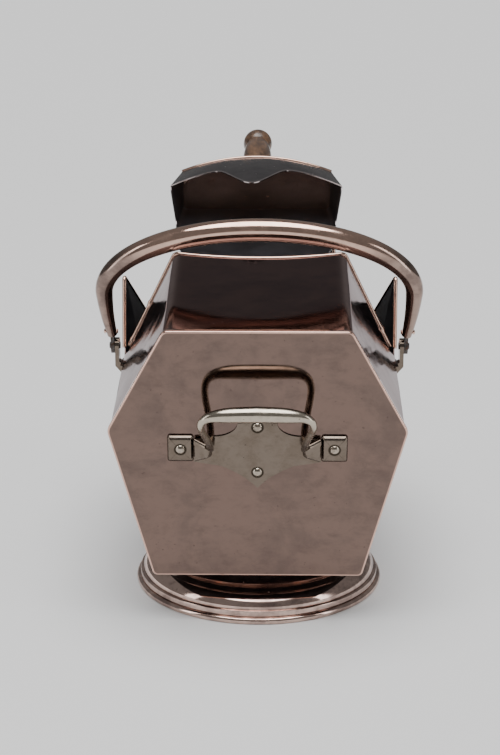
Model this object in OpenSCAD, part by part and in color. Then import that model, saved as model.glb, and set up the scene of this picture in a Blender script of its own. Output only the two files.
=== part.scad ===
// Copper coal scuttle: six-sided body with a hood, spun foot, swing bail, tipping handle and hooded scoop.
// Frame: origin on the ground under the middle of the foot, +X right, +Y towards the pouring lip, +Z up.

/* [Back panel] */
// Width of the panel along its bottom edge
panel_bottom_w = 196; // [170:1:210]
// Width of the panel at its widest corners
panel_waist_w = 272; // [250:1:290]
// Width of the panel along its top edge
panel_top_w = 166; // [140:1:180]
// Distance up the panel from the bottom edge to the widest corners
panel_waist_h = 152; // [125:1:180]
// Distance up the panel from the bottom edge to the top edge
panel_h = 249; // [235:1:262]
// Distance from the foot's middle back to the panel's bottom edge
panel_back = 123; // [100:1:145]
// Backward lean of the panel in degrees
panel_lean = 9; // [0:1:14]
// Thickness of the panel
panel_t = 1.6; // [1.2:0.1:2.4]
// Radius of the panel's corners
panel_corner_r = 6; // [3:0.5:12]
// Depth of the edge folded forward round the body
panel_fold = 3.2; // [2:0.1:5]

/* [Body] */
// Thickness of the copper sheets
sheet_t = 1.2; // [0.8:0.1:1.6]
// Height of the panel's bottom edge over the ground
panel_z = 50; // [42:1:62]
// How far the body's sheets lie inside the panel's outline
body_inset = 3; // [2.6:0.1:4]
// Distance of the bail's ears in front of the foot's middle
ear_y = 30; // [10:1:45]
// Height of the ridge at the ears
ear_ridge_z = 220; // [212:1:228]
// Distance from the ears' middle forward to where the hood ends and the wings start
wing_start = 16; // [15.5:0.5:20]
// How far the wings' peaks stand out beyond the ridge at the ears
peak_out = 2.4; // [1:0.1:2.5]
// Distance of the wings' peaks in front of the foot's middle
peak_y = 85; // [75:1:95]
// Height of the wings' peaks
peak_z = 294; // [280:1:300]
// Where the flat floor starts to bend up into the front apron
bend_y = 80; // [70:1:90]
// Radius of the bend between the floor and the front apron
bend_r = 100; // [80:1:115]
// Slope of the front apron in degrees
apron_slope = 73; // [68:1:76]
// Width of the apron at its shoulders
shoulder_w = 224; // [214:1:232]
// Height of the apron's shoulders
shoulder_z = 201; // [190:1:210]
// Width of the pouring lip
lip_w = 160; // [140:1:172]
// Height of the pouring lip
lip_z = 334.5; // [325:0.5:350]
// Radius of the wired edges
wire_r = 2.2; // [1.6:0.1:2.8]

/* [Hood] */
// Distance of the hood's front corners in front of the foot's middle
hood_front_y = 60; // [48:1:70]
// Height of the hood's front corners
hood_front_z = 324; // [316:1:330]
// Width across the hood's front corners
hood_front_w = 172; // [160:1:180]
// Depth of the hollow curve in the hood's front edge
hood_hollow = 15; // [8:1:22]

/* [Foot] */
// Diameter of the foot
foot_d = 250; // [225:1:275]
// Diameter of the foot's neck under the body
neck_d = 160; // [130:1:168]
// Diameter of the round edge at the bottom of the foot
foot_bead_d = 7; // [5:0.5:9]

/* [Bail] */
// Height of the bail's pivots over the ground
pivot_z = 235; // [231:1:240]
// Distance from the pivots to the middle of the bail's grip
bail_reach = 141; // [138:1:150]
// How far the bail's legs bow out beyond its eyes
bail_bow = 4.5; // [4:0.1:8]
// Diameter of the bail's tube at the grip
bail_grip_d = 22; // [18:0.5:23]
// Diameter of the bail's tube at the ends
bail_end_d = 10; // [9:0.5:12]
// Wall of the bail's tube
bail_wall = 1; // [0.8:0.1:1.4]
// Backward lean of the bail at rest in degrees
bail_lean = 25; // [10:1:30]
// Diameter of the pivot pins
pin_d = 5; // [4:0.1:6]
// Radial clearance of the pins in the bail's eyes
pin_play = 0.05; // [0.02:0.01:0.1]

/* [Tipping handle] */
// Distance between the rivets of the handle's pads
pad_span = 139; // [130:1:150]
// Distance up the panel to the handle's pads
pad_v = 135.5; // [125:0.5:145]
// Distance up the panel to the grip bar
bar_v = 190.5; // [180:0.5:198]
// Distance of the grip bar's middle from the panel
bar_off = 45; // [38:0.5:52]
// Length of the grip bar between its bends
bar_w = 98; // [90:1:112]
// Diameter of the grip bar in its middle
bar_d = 14.4; // [11:0.1:16]
// Thickness of the shield plate
shield_t = 1.5; // [1:0.1:2]

/* [Scoop] */
// Length of the scoop's floor
scoop_l = 218; // [205:1:225]
// Width of the scoop's back plate
scoop_w = 168; // [150:1:172]
// Width across the scoop's horns
horn_w = 188; // [182:1:196]
// Height of the scoop's side walls
scoop_wall_h = 43; // [36:1:46]
// Rise of the scoop's arched cover above the side walls
scoop_arch = 16.5; // [10:0.5:20]
// Distance that the scoop lies off the body's middle
scoop_off = 5; // [0:1:10]
// Slope of the scoop in degrees
scoop_tilt = 8.5; // [7.5:0.5:9.5]
// Thickness of the scoop's sheet
scoop_t = 1; // [0.8:0.1:1.4]
// Extra upward slope of the wooden handle in degrees
handle_rise = 7.2; // [3:0.1:9]
// Distance from the back plate to the middle of the ball end
handle_l = 127; // [115:1:140]
// Diameter of the ball end
ball_d = 34; // [28:0.5:38]

/* [Hidden] */
$fn = 48;

copper = [0.72, 0.45, 0.36];
dark_copper = [0.45, 0.33, 0.3];
brass = [0.75, 0.7, 0.55];
iron = [0.2, 0.2, 0.2];
wood = [0.3, 0.2, 0.13];

skin = 0.02;                                   // gap that keeps touching faces apart
floor_z = panel_z + body_inset;
tan_lean = tan(panel_lean);

// ---- the body's corner lines, for the right-hand side ----
function inner_y(z) = -panel_back + panel_t / cos(panel_lean) - (z - panel_z) * tan_lean;
floor_half = panel_bottom_w / 2 - body_inset;
waist_half = panel_waist_w / 2 - body_inset;
waist_z = panel_z + panel_waist_h * cos(panel_lean);
top_half = panel_top_w / 2 - body_inset / 2;
top_z = panel_z + (panel_h - body_inset) * cos(panel_lean);
side_rake = (waist_half - floor_half) / (waist_z - floor_z);
ear_half = floor_half + side_rake * (ear_ridge_z - floor_z);
wing_y = ear_y + wing_start;
hood_half = hood_front_w / 2;

// ---- the front apron: a flat start, a round bend and a straight slope ----
bend_steps = 8;
bend_end_z = floor_z + bend_r * (1 - cos(apron_slope));
bend_end_y = bend_y + bend_r * sin(apron_slope);
function apron_y(z) = z > bend_end_z ? bend_end_y + (z - bend_end_z) / tan(apron_slope)
    : bend_y + sqrt(max(0, bend_r * bend_r - pow(bend_r - (z - floor_z), 2)));
function apron_angle(z) = z > bend_end_z ? apron_slope : acos(1 - (z - floor_z) / bend_r);
// the apron widens to its shoulders, then draws in to the lip along a hollow curve
neck_power = 2.2;
function apron_half(z) = z < shoulder_z
    ? floor_half + (shoulder_w / 2 - floor_half) * (z - floor_z) / (shoulder_z - floor_z)
    : lip_w / 2 + (shoulder_w - lip_w) / 2 * pow(1 - (z - shoulder_z) / (lip_z - shoulder_z), neck_power);
lower_zs = concat([for (i = [0 : bend_steps]) floor_z + bend_r * (1 - cos(apron_slope * i / bend_steps))],
    [(bend_end_z + shoulder_z) / 2, shoulder_z - 7]);
upper_steps = 9;
upper_zs = [for (i = [0 : upper_steps]) shoulder_z + (lip_z - shoulder_z) * i / upper_steps];
lip_y = apron_y(lip_z);

// ---- vectors, paths and sheets ----
function unit(v) = v / norm(v);
function mix(a, b, f) = a + (b - a) * f;
function flip_x(p) = [-p[0], p[1], p[2]];
function reversed(list) = [for (i = [len(list) - 1 : -1 : 0]) list[i]];
function tangent(p, i) = let (n = len(p) - 1)
    i == 0 ? unit(p[1] - p[0]) : i == n ? unit(p[n] - p[n - 1])
    : unit(unit(p[i + 1] - p[i]) + unit(p[i] - p[i - 1]));
function carried(p, u, i = 0) = i == len(p) ? [] :
    let (t = tangent(p, i), v = unit(u - (u * t) * t)) concat([v], carried(p, v, i + 1));
// a corner is replaced by a short curve that starts and ends at reach from it
function eased(p, reach, steps = 4) = let (n = len(p) - 1) [for (i = [0 : n])
    each (i == 0 || i == n) ? [p[i]] :
        let (a = p[i] + reach * unit(p[i - 1] - p[i]), b = p[i] + reach * unit(p[i + 1] - p[i]))
        [for (k = [0 : steps]) let (f = k / steps) mix(mix(a, p[i], f), mix(p[i], b, f), f)]];
function rings(p, r, sides, up) = let (us = carried(p, up)) [for (i = [0 : len(p) - 1])
    let (t = tangent(p, i), v = cross(t, us[i]))
    [for (k = [0 : sides - 1]) p[i] + r[i] * (cos(360 * k / sides) * us[i] + sin(360 * k / sides) * v)]];

// a round bar along a path, with a radius at each point
module rod(p, r, sides = 10, up = [0, 0, 1]) {
    ring = rings(p, r, sides, up);
    last = (len(p) - 1) * sides;
    polyhedron([for (g = ring) each g], concat(
        [[for (k = [0 : sides - 1]) k]],
        [for (i = [0 : len(p) - 2], k = [0 : sides - 1]) let (a = i * sides + k, b = i * sides + (k + 1) % sides)
            each [[a, a + sides, b + sides], [a, b + sides, b]]],
        [[for (k = [sides - 1 : -1 : 0]) last + k]]), convexity = 8);
}

// a hollow tube along a path, open at both ends
module tube(p, r, wall, sides = 14, up = [0, 1, 0]) {
    outer = rings(p, r, sides, up);
    inner = rings(p, [for (q = r) q - wall], sides, up);
    n = len(p) * sides;
    last = (len(p) - 1) * sides;
    polyhedron([for (g = concat(outer, inner)) each g], [
        for (i = [0 : len(p) - 2], k = [0 : sides - 1]) let (a = i * sides + k, b = i * sides + (k + 1) % sides)
            each [[a, a + sides, b + sides], [a, b + sides, b],
                [n + a, n + b + sides, n + a + sides], [n + a, n + b, n + b + sides]],
        for (k = [0 : sides - 1]) let (a = k, b = (k + 1) % sides)
            each [[a, b, n + b], [a, n + b, n + a],
                [last + a, last + n + b, last + b], [last + a, last + n + a, last + n + b]]], convexity = 8);
}

// a closed sheet between an outer and an inner grid of points, given row by row
module sheet(outer, inner) {
    rows = len(outer);
    cols = len(outer[0]);
    n = rows * cols;
    polyhedron([for (g = concat(outer, inner)) each g], [
        for (r = [0 : rows - 2], c = [0 : cols - 2]) let (a = r * cols + c, d = a + cols)
            each [[a, a + 1, d + 1], [a, d + 1, d], [n + a, n + d + 1, n + a + 1], [n + a, n + d, n + d + 1]],
        for (r = [0 : rows - 2]) let (a = r * cols, d = a + cols, e = a + cols - 1, f = d + cols - 1)
            each [[a, d, n + d], [a, n + d, n + a], [e, n + f, f], [e, n + e, n + f]],
        for (c = [0 : cols - 2]) let (a = c, b = c + 1, e = n - cols + c, f = e + 1)
            each [[a, n + b, b], [a, n + a, n + b], [e, f, n + f], [e, n + f, n + e]]], convexity = 6);
}

module both_sides() {
    children();
    mirror([1, 0, 0]) children();
}

module rivet(length, shank_r = 2, head_r = 4.3, head_h = 2.2) {
    dome = (head_r * head_r + head_h * head_h) / (2 * head_h);
    translate([0, 0, -length]) cylinder(h = length + 0.01, r = shank_r);
    intersection() {
        translate([0, 0, head_h - dome]) sphere(r = dome);
        cylinder(h = head_h + 1, r = head_r + 1);
    }
}

// ---- back panel and what is riveted to it, in the panel's own frame: x, up the panel, outwards ----
module on_panel() {
    translate([0, -panel_back, panel_z]) rotate([90 + panel_lean, 0, 0]) children();
}

function arc_at(a, b, c, r) =                  // round corner at b between a and c
    let (u = unit(a - b), v = unit(c - b), half = acos(u * v) / 2, d = r / tan(half),
        m = b + unit(u + v) * r / sin(half), s = b + u * d - m, e = b + v * d - m,
        turn = cross(s, e) > 0 ? 1 : -1, sweep = 180 - 2 * half)
    [for (k = [0 : 5]) let (g = turn * sweep * k / 5)
        m + [s[0] * cos(g) - s[1] * sin(g), s[0] * sin(g) + s[1] * cos(g)]];

function hexagon(inset, r) = let (
    corners = [[panel_bottom_w / 2 - inset, inset], [panel_waist_w / 2 - inset, panel_waist_h],
        [panel_top_w / 2 - inset * 0.5, panel_h - inset], [-panel_top_w / 2 + inset * 0.5, panel_h - inset],
        [-panel_waist_w / 2 + inset, panel_waist_h], [-panel_bottom_w / 2 + inset, inset]])
    [for (i = [0 : 5]) each arc_at(corners[(i + 5) % 6], corners[i], corners[(i + 1) % 6], r)];

shield_rivet_vs = [pad_v + 21, pad_v - 24.5];
pad_xs = [-pad_span / 2, pad_span / 2];
rivet_r = 2;
rivet_tail = 2.4;                              // a rivet's shank past the last sheet, through its burr
burr_t = 1;

module panel_holes(depth) {
    for (x = pad_xs) translate([x, pad_v, -depth]) cylinder(h = 2 * depth, r = rivet_r);
    for (v = shield_rivet_vs) translate([0, v, -depth]) cylinder(h = 2 * depth, r = rivet_r);
}

module back_panel() color(copper) on_panel() difference() {
    translate([0, 0, -panel_t - panel_fold]) linear_extrude(panel_t + panel_fold)
        polygon(hexagon(0, panel_corner_r));
    translate([0, 0, -panel_t - panel_fold - 1]) linear_extrude(panel_fold + 1)
        polygon(hexagon(body_inset * 0.45, panel_corner_r * 0.7));
    panel_holes(10);
}

shield_half = pad_span / 2 - 11.5;
shield_top = 27;                               // from the pads' middle up to the shield's top edge
shield_top_half = 18;
shield_hollow = [22, 13];                      // width and height of the hollow under the top edge
shield_side = [8, -14];                        // the straight sides' ends, from the pads' middle
shield_swoop_half = 34;
shield_drop = [18, 23];                        // from the pads' middle to the swoop, then to its point
module handle_shield() color(brass) on_panel() difference() {
    linear_extrude(shield_t) polygon(let (
        concave = [for (k = [0 : 6]) let (a = 90 * k / 6)
            [shield_top_half + shield_hollow[0] * (1 - cos(a)),
                pad_v + shield_top - 2 - shield_hollow[1] * sin(a)]],
        swoop = [for (k = [0 : 8]) let (f = k / 8)
            [shield_swoop_half * (1 - f),
                pad_v - shield_drop[0] - shield_drop[1] * pow(f, 1.7) - 3 * sin(180 * f) * (1 - f)]],
        half = concat([[0, pad_v + shield_top]], concave,
            [for (v = shield_side) [shield_half, pad_v + v]], swoop))
        concat(half, [for (i = [len(half) - 2 : -1 : 1]) [-half[i][0], half[i][1]]]));
    panel_holes(10);
}

// path of one half of the casting: from the middle of the bar round its end and back to the pad
leg_foot = [pad_span / 2 - 27, pad_v + 2, shield_t + 5];
bar_half_path = [[0, bar_v, bar_off], [bar_w * 0.25, bar_v - 0.5, bar_off + 0.5],
    [bar_w * 0.4, bar_v - 2.5, bar_off], [bar_w * 0.475, bar_v - 7, bar_off - 1.5],
    [bar_w / 2, bar_v - 14, bar_off - 5], [bar_w * 0.49, bar_v - 23, bar_off - 12],
    [bar_w * 0.465, bar_v - 32, bar_off - 20], [bar_w * 0.44, bar_v - 43, bar_off - 29], leg_foot];
bar_radii = bar_d * [0.5, 0.46, 0.34, 0.26, 0.23, 0.22, 0.22, 0.23, 0.24];
// smooth curve through the listed points
function between(list, i, n) = let (a = floor(i / n), f = i / n - a) f == 0 ? list[a] :
    let (m = len(list) - 1, p0 = list[max(a - 1, 0)], p1 = list[a], p2 = list[a + 1], p3 = list[min(a + 2, m)])
    0.5 * (2 * p1 + (p2 - p0) * f + (2 * p0 - 5 * p1 + 4 * p2 - p3) * pow(f, 2)
        + (3 * p1 - p0 - 3 * p2 + p3) * pow(f, 3));
function smooth(list, n) = [for (i = [0 : (len(list) - 1) * n]) between(list, i, n)];

pad = [24, 26, 4.6];
pad_bevel = [2.5, 2.5, 2];
module pad_block(size, height) translate([-size[0] / 2, -size[1] / 2, 0]) cube([size[0], size[1], height]);
module tipping_handle() color(brass) on_panel() {
    half = smooth(bar_half_path, 3);
    radii = smooth(bar_radii, 3);
    whole = concat([for (i = [len(half) - 1 : -1 : 1]) flip_x(half[i])], half);
    whole_r = concat([for (i = [len(radii) - 1 : -1 : 1]) radii[i]], radii);
    difference() {
        union() {
            rod(whole, whole_r, 12, [0, 0, 1]);
            both_sides() {
                // the pad has bevelled sides
                translate([pad_span / 2, pad_v, skin]) hull() {
                    pad_block(pad, pad[2] - pad_bevel[2]);
                    pad_block(pad - 2 * pad_bevel, pad[2]);
                }
                // the web between the leg and the pad
                hull() {
                    translate([pad_span / 2 - 13.5, pad_v - 12, shield_t + skin]) cube([3, 22, 3]);
                    translate([pad_span / 2 - 18, pad_v - 12, shield_t + skin]) cube([3, 3, 1.2]);
                    translate(leg_foot + [-1.5, -2, 2]) cube([3, 5, 8]);
                }
            }
        }
        panel_holes(30);
        translate([-shield_half, pad_v - 60, -1]) cube([2 * shield_half, 100, shield_t + 1]);
    }
}

module shield_rivets() color(brass) on_panel()
    for (v = shield_rivet_vs) translate([0, v, shield_t + skin]) rivet(shield_t + panel_t + rivet_tail);

module pad_rivets() color(brass) on_panel()
    for (x = pad_xs) translate([x, pad_v, pad[2] + 2 * skin]) rivet(pad[2] + panel_t + rivet_tail);

module burr(hole_r = rivet_r, r = 5) difference() {
    cylinder(h = burr_t, r = r);
    translate([0, 0, -1]) cylinder(h = burr_t + 2, r = hole_r + skin);
}

module panel_burrs() color(copper) on_panel() {
    for (x = pad_xs) translate([x, pad_v, -panel_t - burr_t - skin]) burr();
    for (v = shield_rivet_vs) translate([0, v, -panel_t - burr_t - skin]) burr();
}

// ---- the body's sheets ----
// each corner line has an outer point and the matching point one sheet inside
function floor_corner(y_outer) =
    [[floor_half, y_outer, floor_z], [floor_half - sheet_t, y_outer, floor_z + sheet_t]];
back_floor = [[floor_half, inner_y(floor_z), floor_z],
    [floor_half - sheet_t, inner_y(floor_z + sheet_t), floor_z + sheet_t]];
back_waist = [[waist_half, inner_y(waist_z), waist_z], [waist_half - sheet_t, inner_y(waist_z), waist_z]];
back_top = [[top_half, inner_y(top_z), top_z],
    [top_half - 0.64 * sheet_t, inner_y(top_z - sheet_t), top_z - sheet_t]];
wing_foot = [[ear_half, wing_y, ear_ridge_z], [ear_half - sheet_t, wing_y, ear_ridge_z]];
hood_corner = [[hood_half, hood_front_y, hood_front_z],
    [hood_half - 0.64 * sheet_t, hood_front_y, hood_front_z - sheet_t]];
peak = [ear_half + peak_out, peak_y, peak_z];
shoulder = [shoulder_w / 2, apron_y(shoulder_z), shoulder_z];
notch_at = 0.48;                               // where the wing's front edge bends, from its peak
notch = mix(peak, shoulder, notch_at) + [0, 0, 1];

function apron_edge(z) = let (a = apron_angle(z)) [[apron_half(z), apron_y(z), z],
    [apron_half(z) - sheet_t, apron_y(z) - sheet_t * sin(a), z + sheet_t * cos(a)]];

// wired edge of the mouth: wing foot, wing peak, shoulder, hollow side of the apron, lip
mouth_half = concat(
    [mix(wing_foot[0], peak, 0.1)], [peak, notch, shoulder],
    [for (i = [1 : upper_steps]) [apron_half(upper_zs[i]), apron_y(upper_zs[i]), upper_zs[i]]]);
mouth_path = let (half = eased(mouth_half, 3.5, 3)) concat(half, [for (p = reversed(half)) flip_x(p)]);
module mouth_wire(r) rod(mouth_path, [for (p = mouth_path) r], 8, [1, 0, 0]);

function top_facet_z(y) = mix(top_z, hood_front_z, (y - inner_y(top_z)) / (hood_front_y - inner_y(top_z)));
hollow_steps = 12;
hood_front = [for (i = [0 : hollow_steps]) let (f = 2 * i / hollow_steps - 1,
    y = hood_front_y - hood_hollow * (1 - f * f)) [hood_half * f, y, top_facet_z(y)]];
hood_rim = let (side = mix(hood_corner[0], wing_foot[0], 0.9),
    e = eased([flip_x(side), flip_x(hood_corner[0]), hood_front[1]], 4, 3))
    concat([for (i = [0 : len(e) - 2]) e[i]],
    [for (i = [1 : hollow_steps - 1]) hood_front[i]], [for (i = [len(e) - 2 : -1 : 0]) flip_x(e[i])]);
// the wire's middle lies in the middle of the sheet
module hood_wire(r) translate([0, 0, -sheet_t / 2]) rod(hood_rim, [for (p = hood_rim) r], 8, [0, 0, 1]);

module floor_sheet() color(copper) sheet(
    [for (s = [back_floor, floor_corner(wing_y), apron_edge(floor_z)]) [s[0], flip_x(s[0])]],
    [for (s = [back_floor, floor_corner(wing_y), apron_edge(floor_z)]) [s[1], flip_x(s[1])]]);

// the free edges stop where the wire's surface starts
wire_room = 1.09;                              // the wire's groove in the sides, per wire radius
wire_pull = 1.12 * wire_r + skin;
function apron_free(z) = let (e = apron_edge(min(z, lip_z - wire_pull * sin(apron_slope))))
    [for (p = e) p - [wire_pull, 0, 0]];

module front_apron() color(copper) {
    edges = concat([for (z = lower_zs) apron_edge(z)], [for (z = upper_zs) apron_free(z)]);
    sheet([for (e = edges) [e[0], flip_x(e[0])]], [for (e = edges) [e[1], flip_x(e[1])]]);
}

module side_sheet() {
    feet = concat([back_floor, floor_corner(wing_y), floor_corner(mix(wing_y, bend_y, 0.5))],
        [for (z = lower_zs) apron_edge(z)]);
    n = len(lower_zs) - 1;
    inward = [sheet_t, 0, 0];
    tops = concat([back_waist, wing_foot], [let (p = mix(wing_foot[0], peak, 0.5)) [p, p - inward]],
        [for (i = [0 : n]) let (f = i / n, p = f < notch_at ? mix(peak, notch, f / notch_at)
            : mix(notch, shoulder, (f - notch_at) / (1 - notch_at)))
            [p, p - inward]]);
    rows = [for (i = [0 : len(feet) - 1])
        [for (g = [0 : 1]) [for (k = [0 : 2]) mix(feet[i][g], tops[i][g], k / 2)]]];
    difference() {
        sheet([for (r = rows) reversed(r[0])], [for (r = rows) reversed(r[1])]);
        mouth_wire(wire_room * wire_r);
        ear_rivet_shanks(ear_rivet_r);
    }
}
module right_side() color(copper) side_sheet();
module left_side() color(copper) mirror([1, 0, 0]) side_sheet();

function across(p) = [for (i = [0 : hollow_steps]) let (f = 2 * i / hollow_steps - 1) [p[0] * f, p[1], p[2]]];
module hood() color(dark_copper) {
    back = [for (k = [0 : 1]) concat([flip_x(back_waist[k])], across(back_top[k]), [back_waist[k]])];
    rim = [concat([flip_x(wing_foot[0])], hood_front, [wing_foot[0]]),
        concat([flip_x(wing_foot[1])],
            [for (p = hood_front) [p[0] * hood_corner[1][0] / hood_half, p[1], p[2] - sheet_t]],
            [wing_foot[1]])];
    front = [for (k = [0 : 1]) [for (i = [0 : len(rim[k]) - 1])
        rim[k][i] + wire_pull * unit(back[k][i] - rim[k][i])]];
    sheet([back[0], front[0]], [back[1], front[1]]);
}
module hood_rim_wire() color(copper) hood_wire(wire_r);
module mouth_rim_wire() color(copper) mouth_wire(wire_r);

// ---- the foot ----
foot_r = foot_d / 2;
neck_r = neck_d / 2;
foot_t = 1.4;
bead_r = foot_bead_d / 2;
bead_flat = 0.5;                               // the bead is worn flat where it stands
bead_top = foot_bead_d - bead_flat;
collar_h = 4;                                  // height of the collar between the foot and the floor sheet
neck_top = floor_z - collar_h;
cove_r = foot_r - 26;
cove_z = 27;
cove_steps = 8;
swell_r = 12;                                  // radius of the round shoulder over the rim
swell_steps = 7;
ledge_z = 12;
// outside of the spun foot, from the neck down to the rim
foot_outline = concat(
    [for (k = [0 : cove_steps]) let (a = 90 * k / cove_steps)
        [neck_r + (cove_r - neck_r) * (1 - cos(a)), neck_top - (neck_top - cove_z) * sin(a)]],
    [for (k = [0 : swell_steps]) let (a = 90 * k / swell_steps)
        [foot_r - 19 + swell_r * sin(a), ledge_z + 0.5 + swell_r * cos(a)]],
    [[foot_r - 4.2, ledge_z], [foot_r - 3.6, bead_top + 0.6], [foot_r - 4.4, bead_top + 0.1]]);
round_points = cove_steps + swell_steps + 2;   // below them the rim's sheet is turned in and thinner
module foot() color(copper) rotate_extrude($fn = 96) polygon(concat(
    [[neck_r, neck_top]], foot_outline,
    [for (i = [len(foot_outline) - 1 : -1 : 0])
        foot_outline[i] - [foot_t, i < round_points ? foot_t : foot_t * 0.3]],
    [[neck_r - foot_t, neck_top]]));
module foot_rim_bead() color(copper) rotate_extrude($fn = 96) difference() {
    translate([foot_r - bead_r, bead_r - bead_flat]) circle(r = bead_r, $fn = 24);
    translate([foot_r - foot_bead_d, -bead_r]) square([foot_bead_d + 1, bead_r]);
}
module foot_collar() color(copper) rotate_extrude($fn = 96) difference() {
    translate([neck_r - foot_t - 2, neck_top + skin]) square([foot_t + 5, collar_h - 2 * skin]);
    translate([neck_r + 3.6, neck_top]) circle(r = 2.4, $fn = 24);
}

// ---- ears and pivots ----
ear_base_z0 = ear_ridge_z - 24;
ear_base_z1 = ear_ridge_z - 3;
lug_in = ear_half + 3.2;
lug_t = 4;
lug_r = 8;
eye_t = 3.6;
eye_in = lug_in + lug_t + 0.4;
eye_out = eye_in + eye_t;
ear_w = 30;
ear_t = 2.3;
lug_w = 14;
ear_rivet_ys = [-9, 9];
ear_rivet_z = ear_base_z0 + 9;
ear_rivet_r = rivet_r - 0.4;
function side_x(z) = floor_half + side_rake * (z - floor_z);
module at_ear_rivets() for (dy = ear_rivet_ys)
    translate([side_x(ear_rivet_z), ear_y + dy, ear_rivet_z]) rotate([0, 90 + atan(side_rake), 0]) children();
module ear_rivet_shanks(r) at_ear_rivets() translate([0, 0, -8]) cylinder(h = 16, r = r);
module ear() difference() {
    union() {
        translate([0, ear_y + ear_w / 2, 0]) rotate([90, 0, 0]) linear_extrude(ear_w) polygon([
            [side_x(ear_base_z0) + skin, ear_base_z0], [side_x(ear_base_z1) + skin, ear_base_z1],
            [side_x(ear_base_z1) + 2.4, ear_base_z1 + 0.6], [side_x(ear_base_z0) + 2.2, ear_base_z0 - 0.6]]);
        translate([0, ear_y + lug_w / 2, 0]) rotate([90, 0, 0]) linear_extrude(lug_w) polygon([
            [side_x(ear_base_z1) + 1, ear_base_z1 - 6], [side_x(ear_base_z1) + 1, ear_base_z1],
            [lug_in, ear_base_z1 + 2.5], [lug_in, pivot_z], [lug_in + lug_t, pivot_z],
            [lug_in + lug_t, ear_base_z1 - 2], [side_x(ear_base_z1) + 1, ear_base_z1 - 10]]);
        translate([lug_in, ear_y, pivot_z]) rotate([0, 90, 0]) cylinder(h = lug_t, r = lug_r);
    }
    translate([lug_in - 5, ear_y, pivot_z]) rotate([0, 90, 0]) cylinder(h = 20, r = pin_d / 2);
    ear_rivet_shanks(ear_rivet_r);
}
module right_ear() color(brass) ear();
module left_ear() color(brass) mirror([1, 0, 0]) ear();

module ear_rivets() color(brass) both_sides() at_ear_rivets()
    translate([0, 0, ear_t + skin]) rivet(ear_t + sheet_t + rivet_tail, ear_rivet_r, 3.2, 1.6);
module ear_burrs() color(copper) both_sides() at_ear_rivets()
    translate([0, 0, -sheet_t * 1.25 - burr_t]) burr(ear_rivet_r, 3.6);

module pivot_pins() color(iron) both_sides() translate([0, ear_y, pivot_z]) rotate([0, 90, 0]) {
    translate([0, 0, lug_in]) cylinder(h = eye_out + 0.6 - lug_in, r = pin_d / 2);
    translate([0, 0, eye_out + 0.5]) cylinder(h = 1.4, r1 = pin_d * 0.8, r2 = pin_d * 0.55);
    translate([0, 0, lug_in - 1]) cylinder(h = 1, r = pin_d * 0.7);
}

// ---- the bail, drawn upright over its pivots and leaned back ----
eye_mid = eye_in + eye_t / 2;
bail_mid_w = eye_mid + bail_bow;               // from the middle to the tube's centre at its widest
bail_leg = bail_reach * 0.47;                  // height at which the bail is widest
bail_foot = 14;                                // height at which the tube starts
leg_steps = 5;
bow_steps = 13;
bail_half = concat(
    [for (i = [0 : leg_steps - 1]) let (h = mix(bail_foot, bail_leg, i / leg_steps))
        [bail_mid_w - bail_bow * pow((bail_leg - h) / (bail_leg - bail_foot), 2), 0, h]],
    [for (i = [0 : bow_steps]) let (a = 90 * i / bow_steps)
        [bail_mid_w * cos(a), 0, bail_leg + (bail_reach - bail_leg) * sin(a)]]);
bail_bow_r = bail_end_d / 2 + 3.4;              // the tube's radius where it is widest across
bail_half_r = concat([for (i = [0 : leg_steps - 1]) mix(bail_end_d / 2, bail_bow_r, i / leg_steps)],
    [for (i = [0 : bow_steps]) mix(bail_bow_r, bail_grip_d / 2, sin(90 * i / bow_steps))]);
bail_path = concat(bail_half, [for (i = [len(bail_half) - 2 : -1 : 0]) flip_x(bail_half[i])]);
bail_r = concat(bail_half_r, [for (i = [len(bail_half_r) - 2 : -1 : 0]) bail_half_r[i]]);
tang_r = 3.4;
bail_rivet_h = bail_foot + 4;
bail_rivet_r = 1.5;

module on_bail() translate([0, ear_y, pivot_z]) rotate([bail_lean, 0, 0]) children();
module bail_rivet_holes() both_sides() translate([eye_in - 12, 0, bail_rivet_h]) rotate([0, 90, 0])
    cylinder(h = 26, r = bail_rivet_r);
module bail_tube() color(copper) on_bail() difference() {
    tube(bail_path, bail_r, bail_wall);
    bail_rivet_holes();
}
module bail_end() on_bail() difference() {
    union() {
        translate([eye_in, 0, 0]) rotate([0, 90, 0]) cylinder(h = eye_t, r = lug_r);
        translate([eye_in, -4.5, 4]) cube([eye_t, 9, bail_foot - 4.4]);
        translate([eye_mid, 0, bail_foot - 1]) cylinder(h = 9, r = tang_r);
    }
    translate([eye_in - 1, 0, 0]) rotate([0, 90, 0]) cylinder(h = eye_t + 2, r = pin_d / 2 + pin_play);
    bail_rivet_holes();
}
module right_bail_end() color(iron) bail_end();
module left_bail_end() color(iron) mirror([1, 0, 0]) bail_end();
module bail_rivets() color(copper) on_bail() both_sides()
    translate([eye_mid + bail_bow * 0.16, 0, bail_rivet_h]) rotate([0, 90, 0]) {
        translate([0, 0, bail_end_d / 2 + 0.95]) rivet(bail_end_d + 1.9, bail_rivet_r, 3, 1.8);
        translate([0, 0, -bail_end_d / 2 - 1.6]) cylinder(h = 1, r1 = 2, r2 = 2.6);
    }

// ---- the scoop, in its own frame: x, along its floor towards the handle, up from its floor ----
scoop_reach = 10;                              // from the lip to the scoop's back plate
scoop_gap = 0.35;
scoop_y = lip_y + scoop_reach;
scoop_z = lip_z + (wire_r + scoop_gap) / cos(scoop_tilt) + scoop_reach * tan(scoop_tilt);
module on_scoop() translate([-scoop_off, scoop_y, scoop_z]) rotate([scoop_tilt, 0, 0]) children();

scoop_half = scoop_w / 2;
horn_half = horn_w / 2;
horn_l = 54;                                   // from the back plate to the horns
tongue_l = 88;
scallop_l = 36;
function smoothstep(f) = let (g = min(1, max(0, f))) g * g * (3 - 2 * g);
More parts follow.
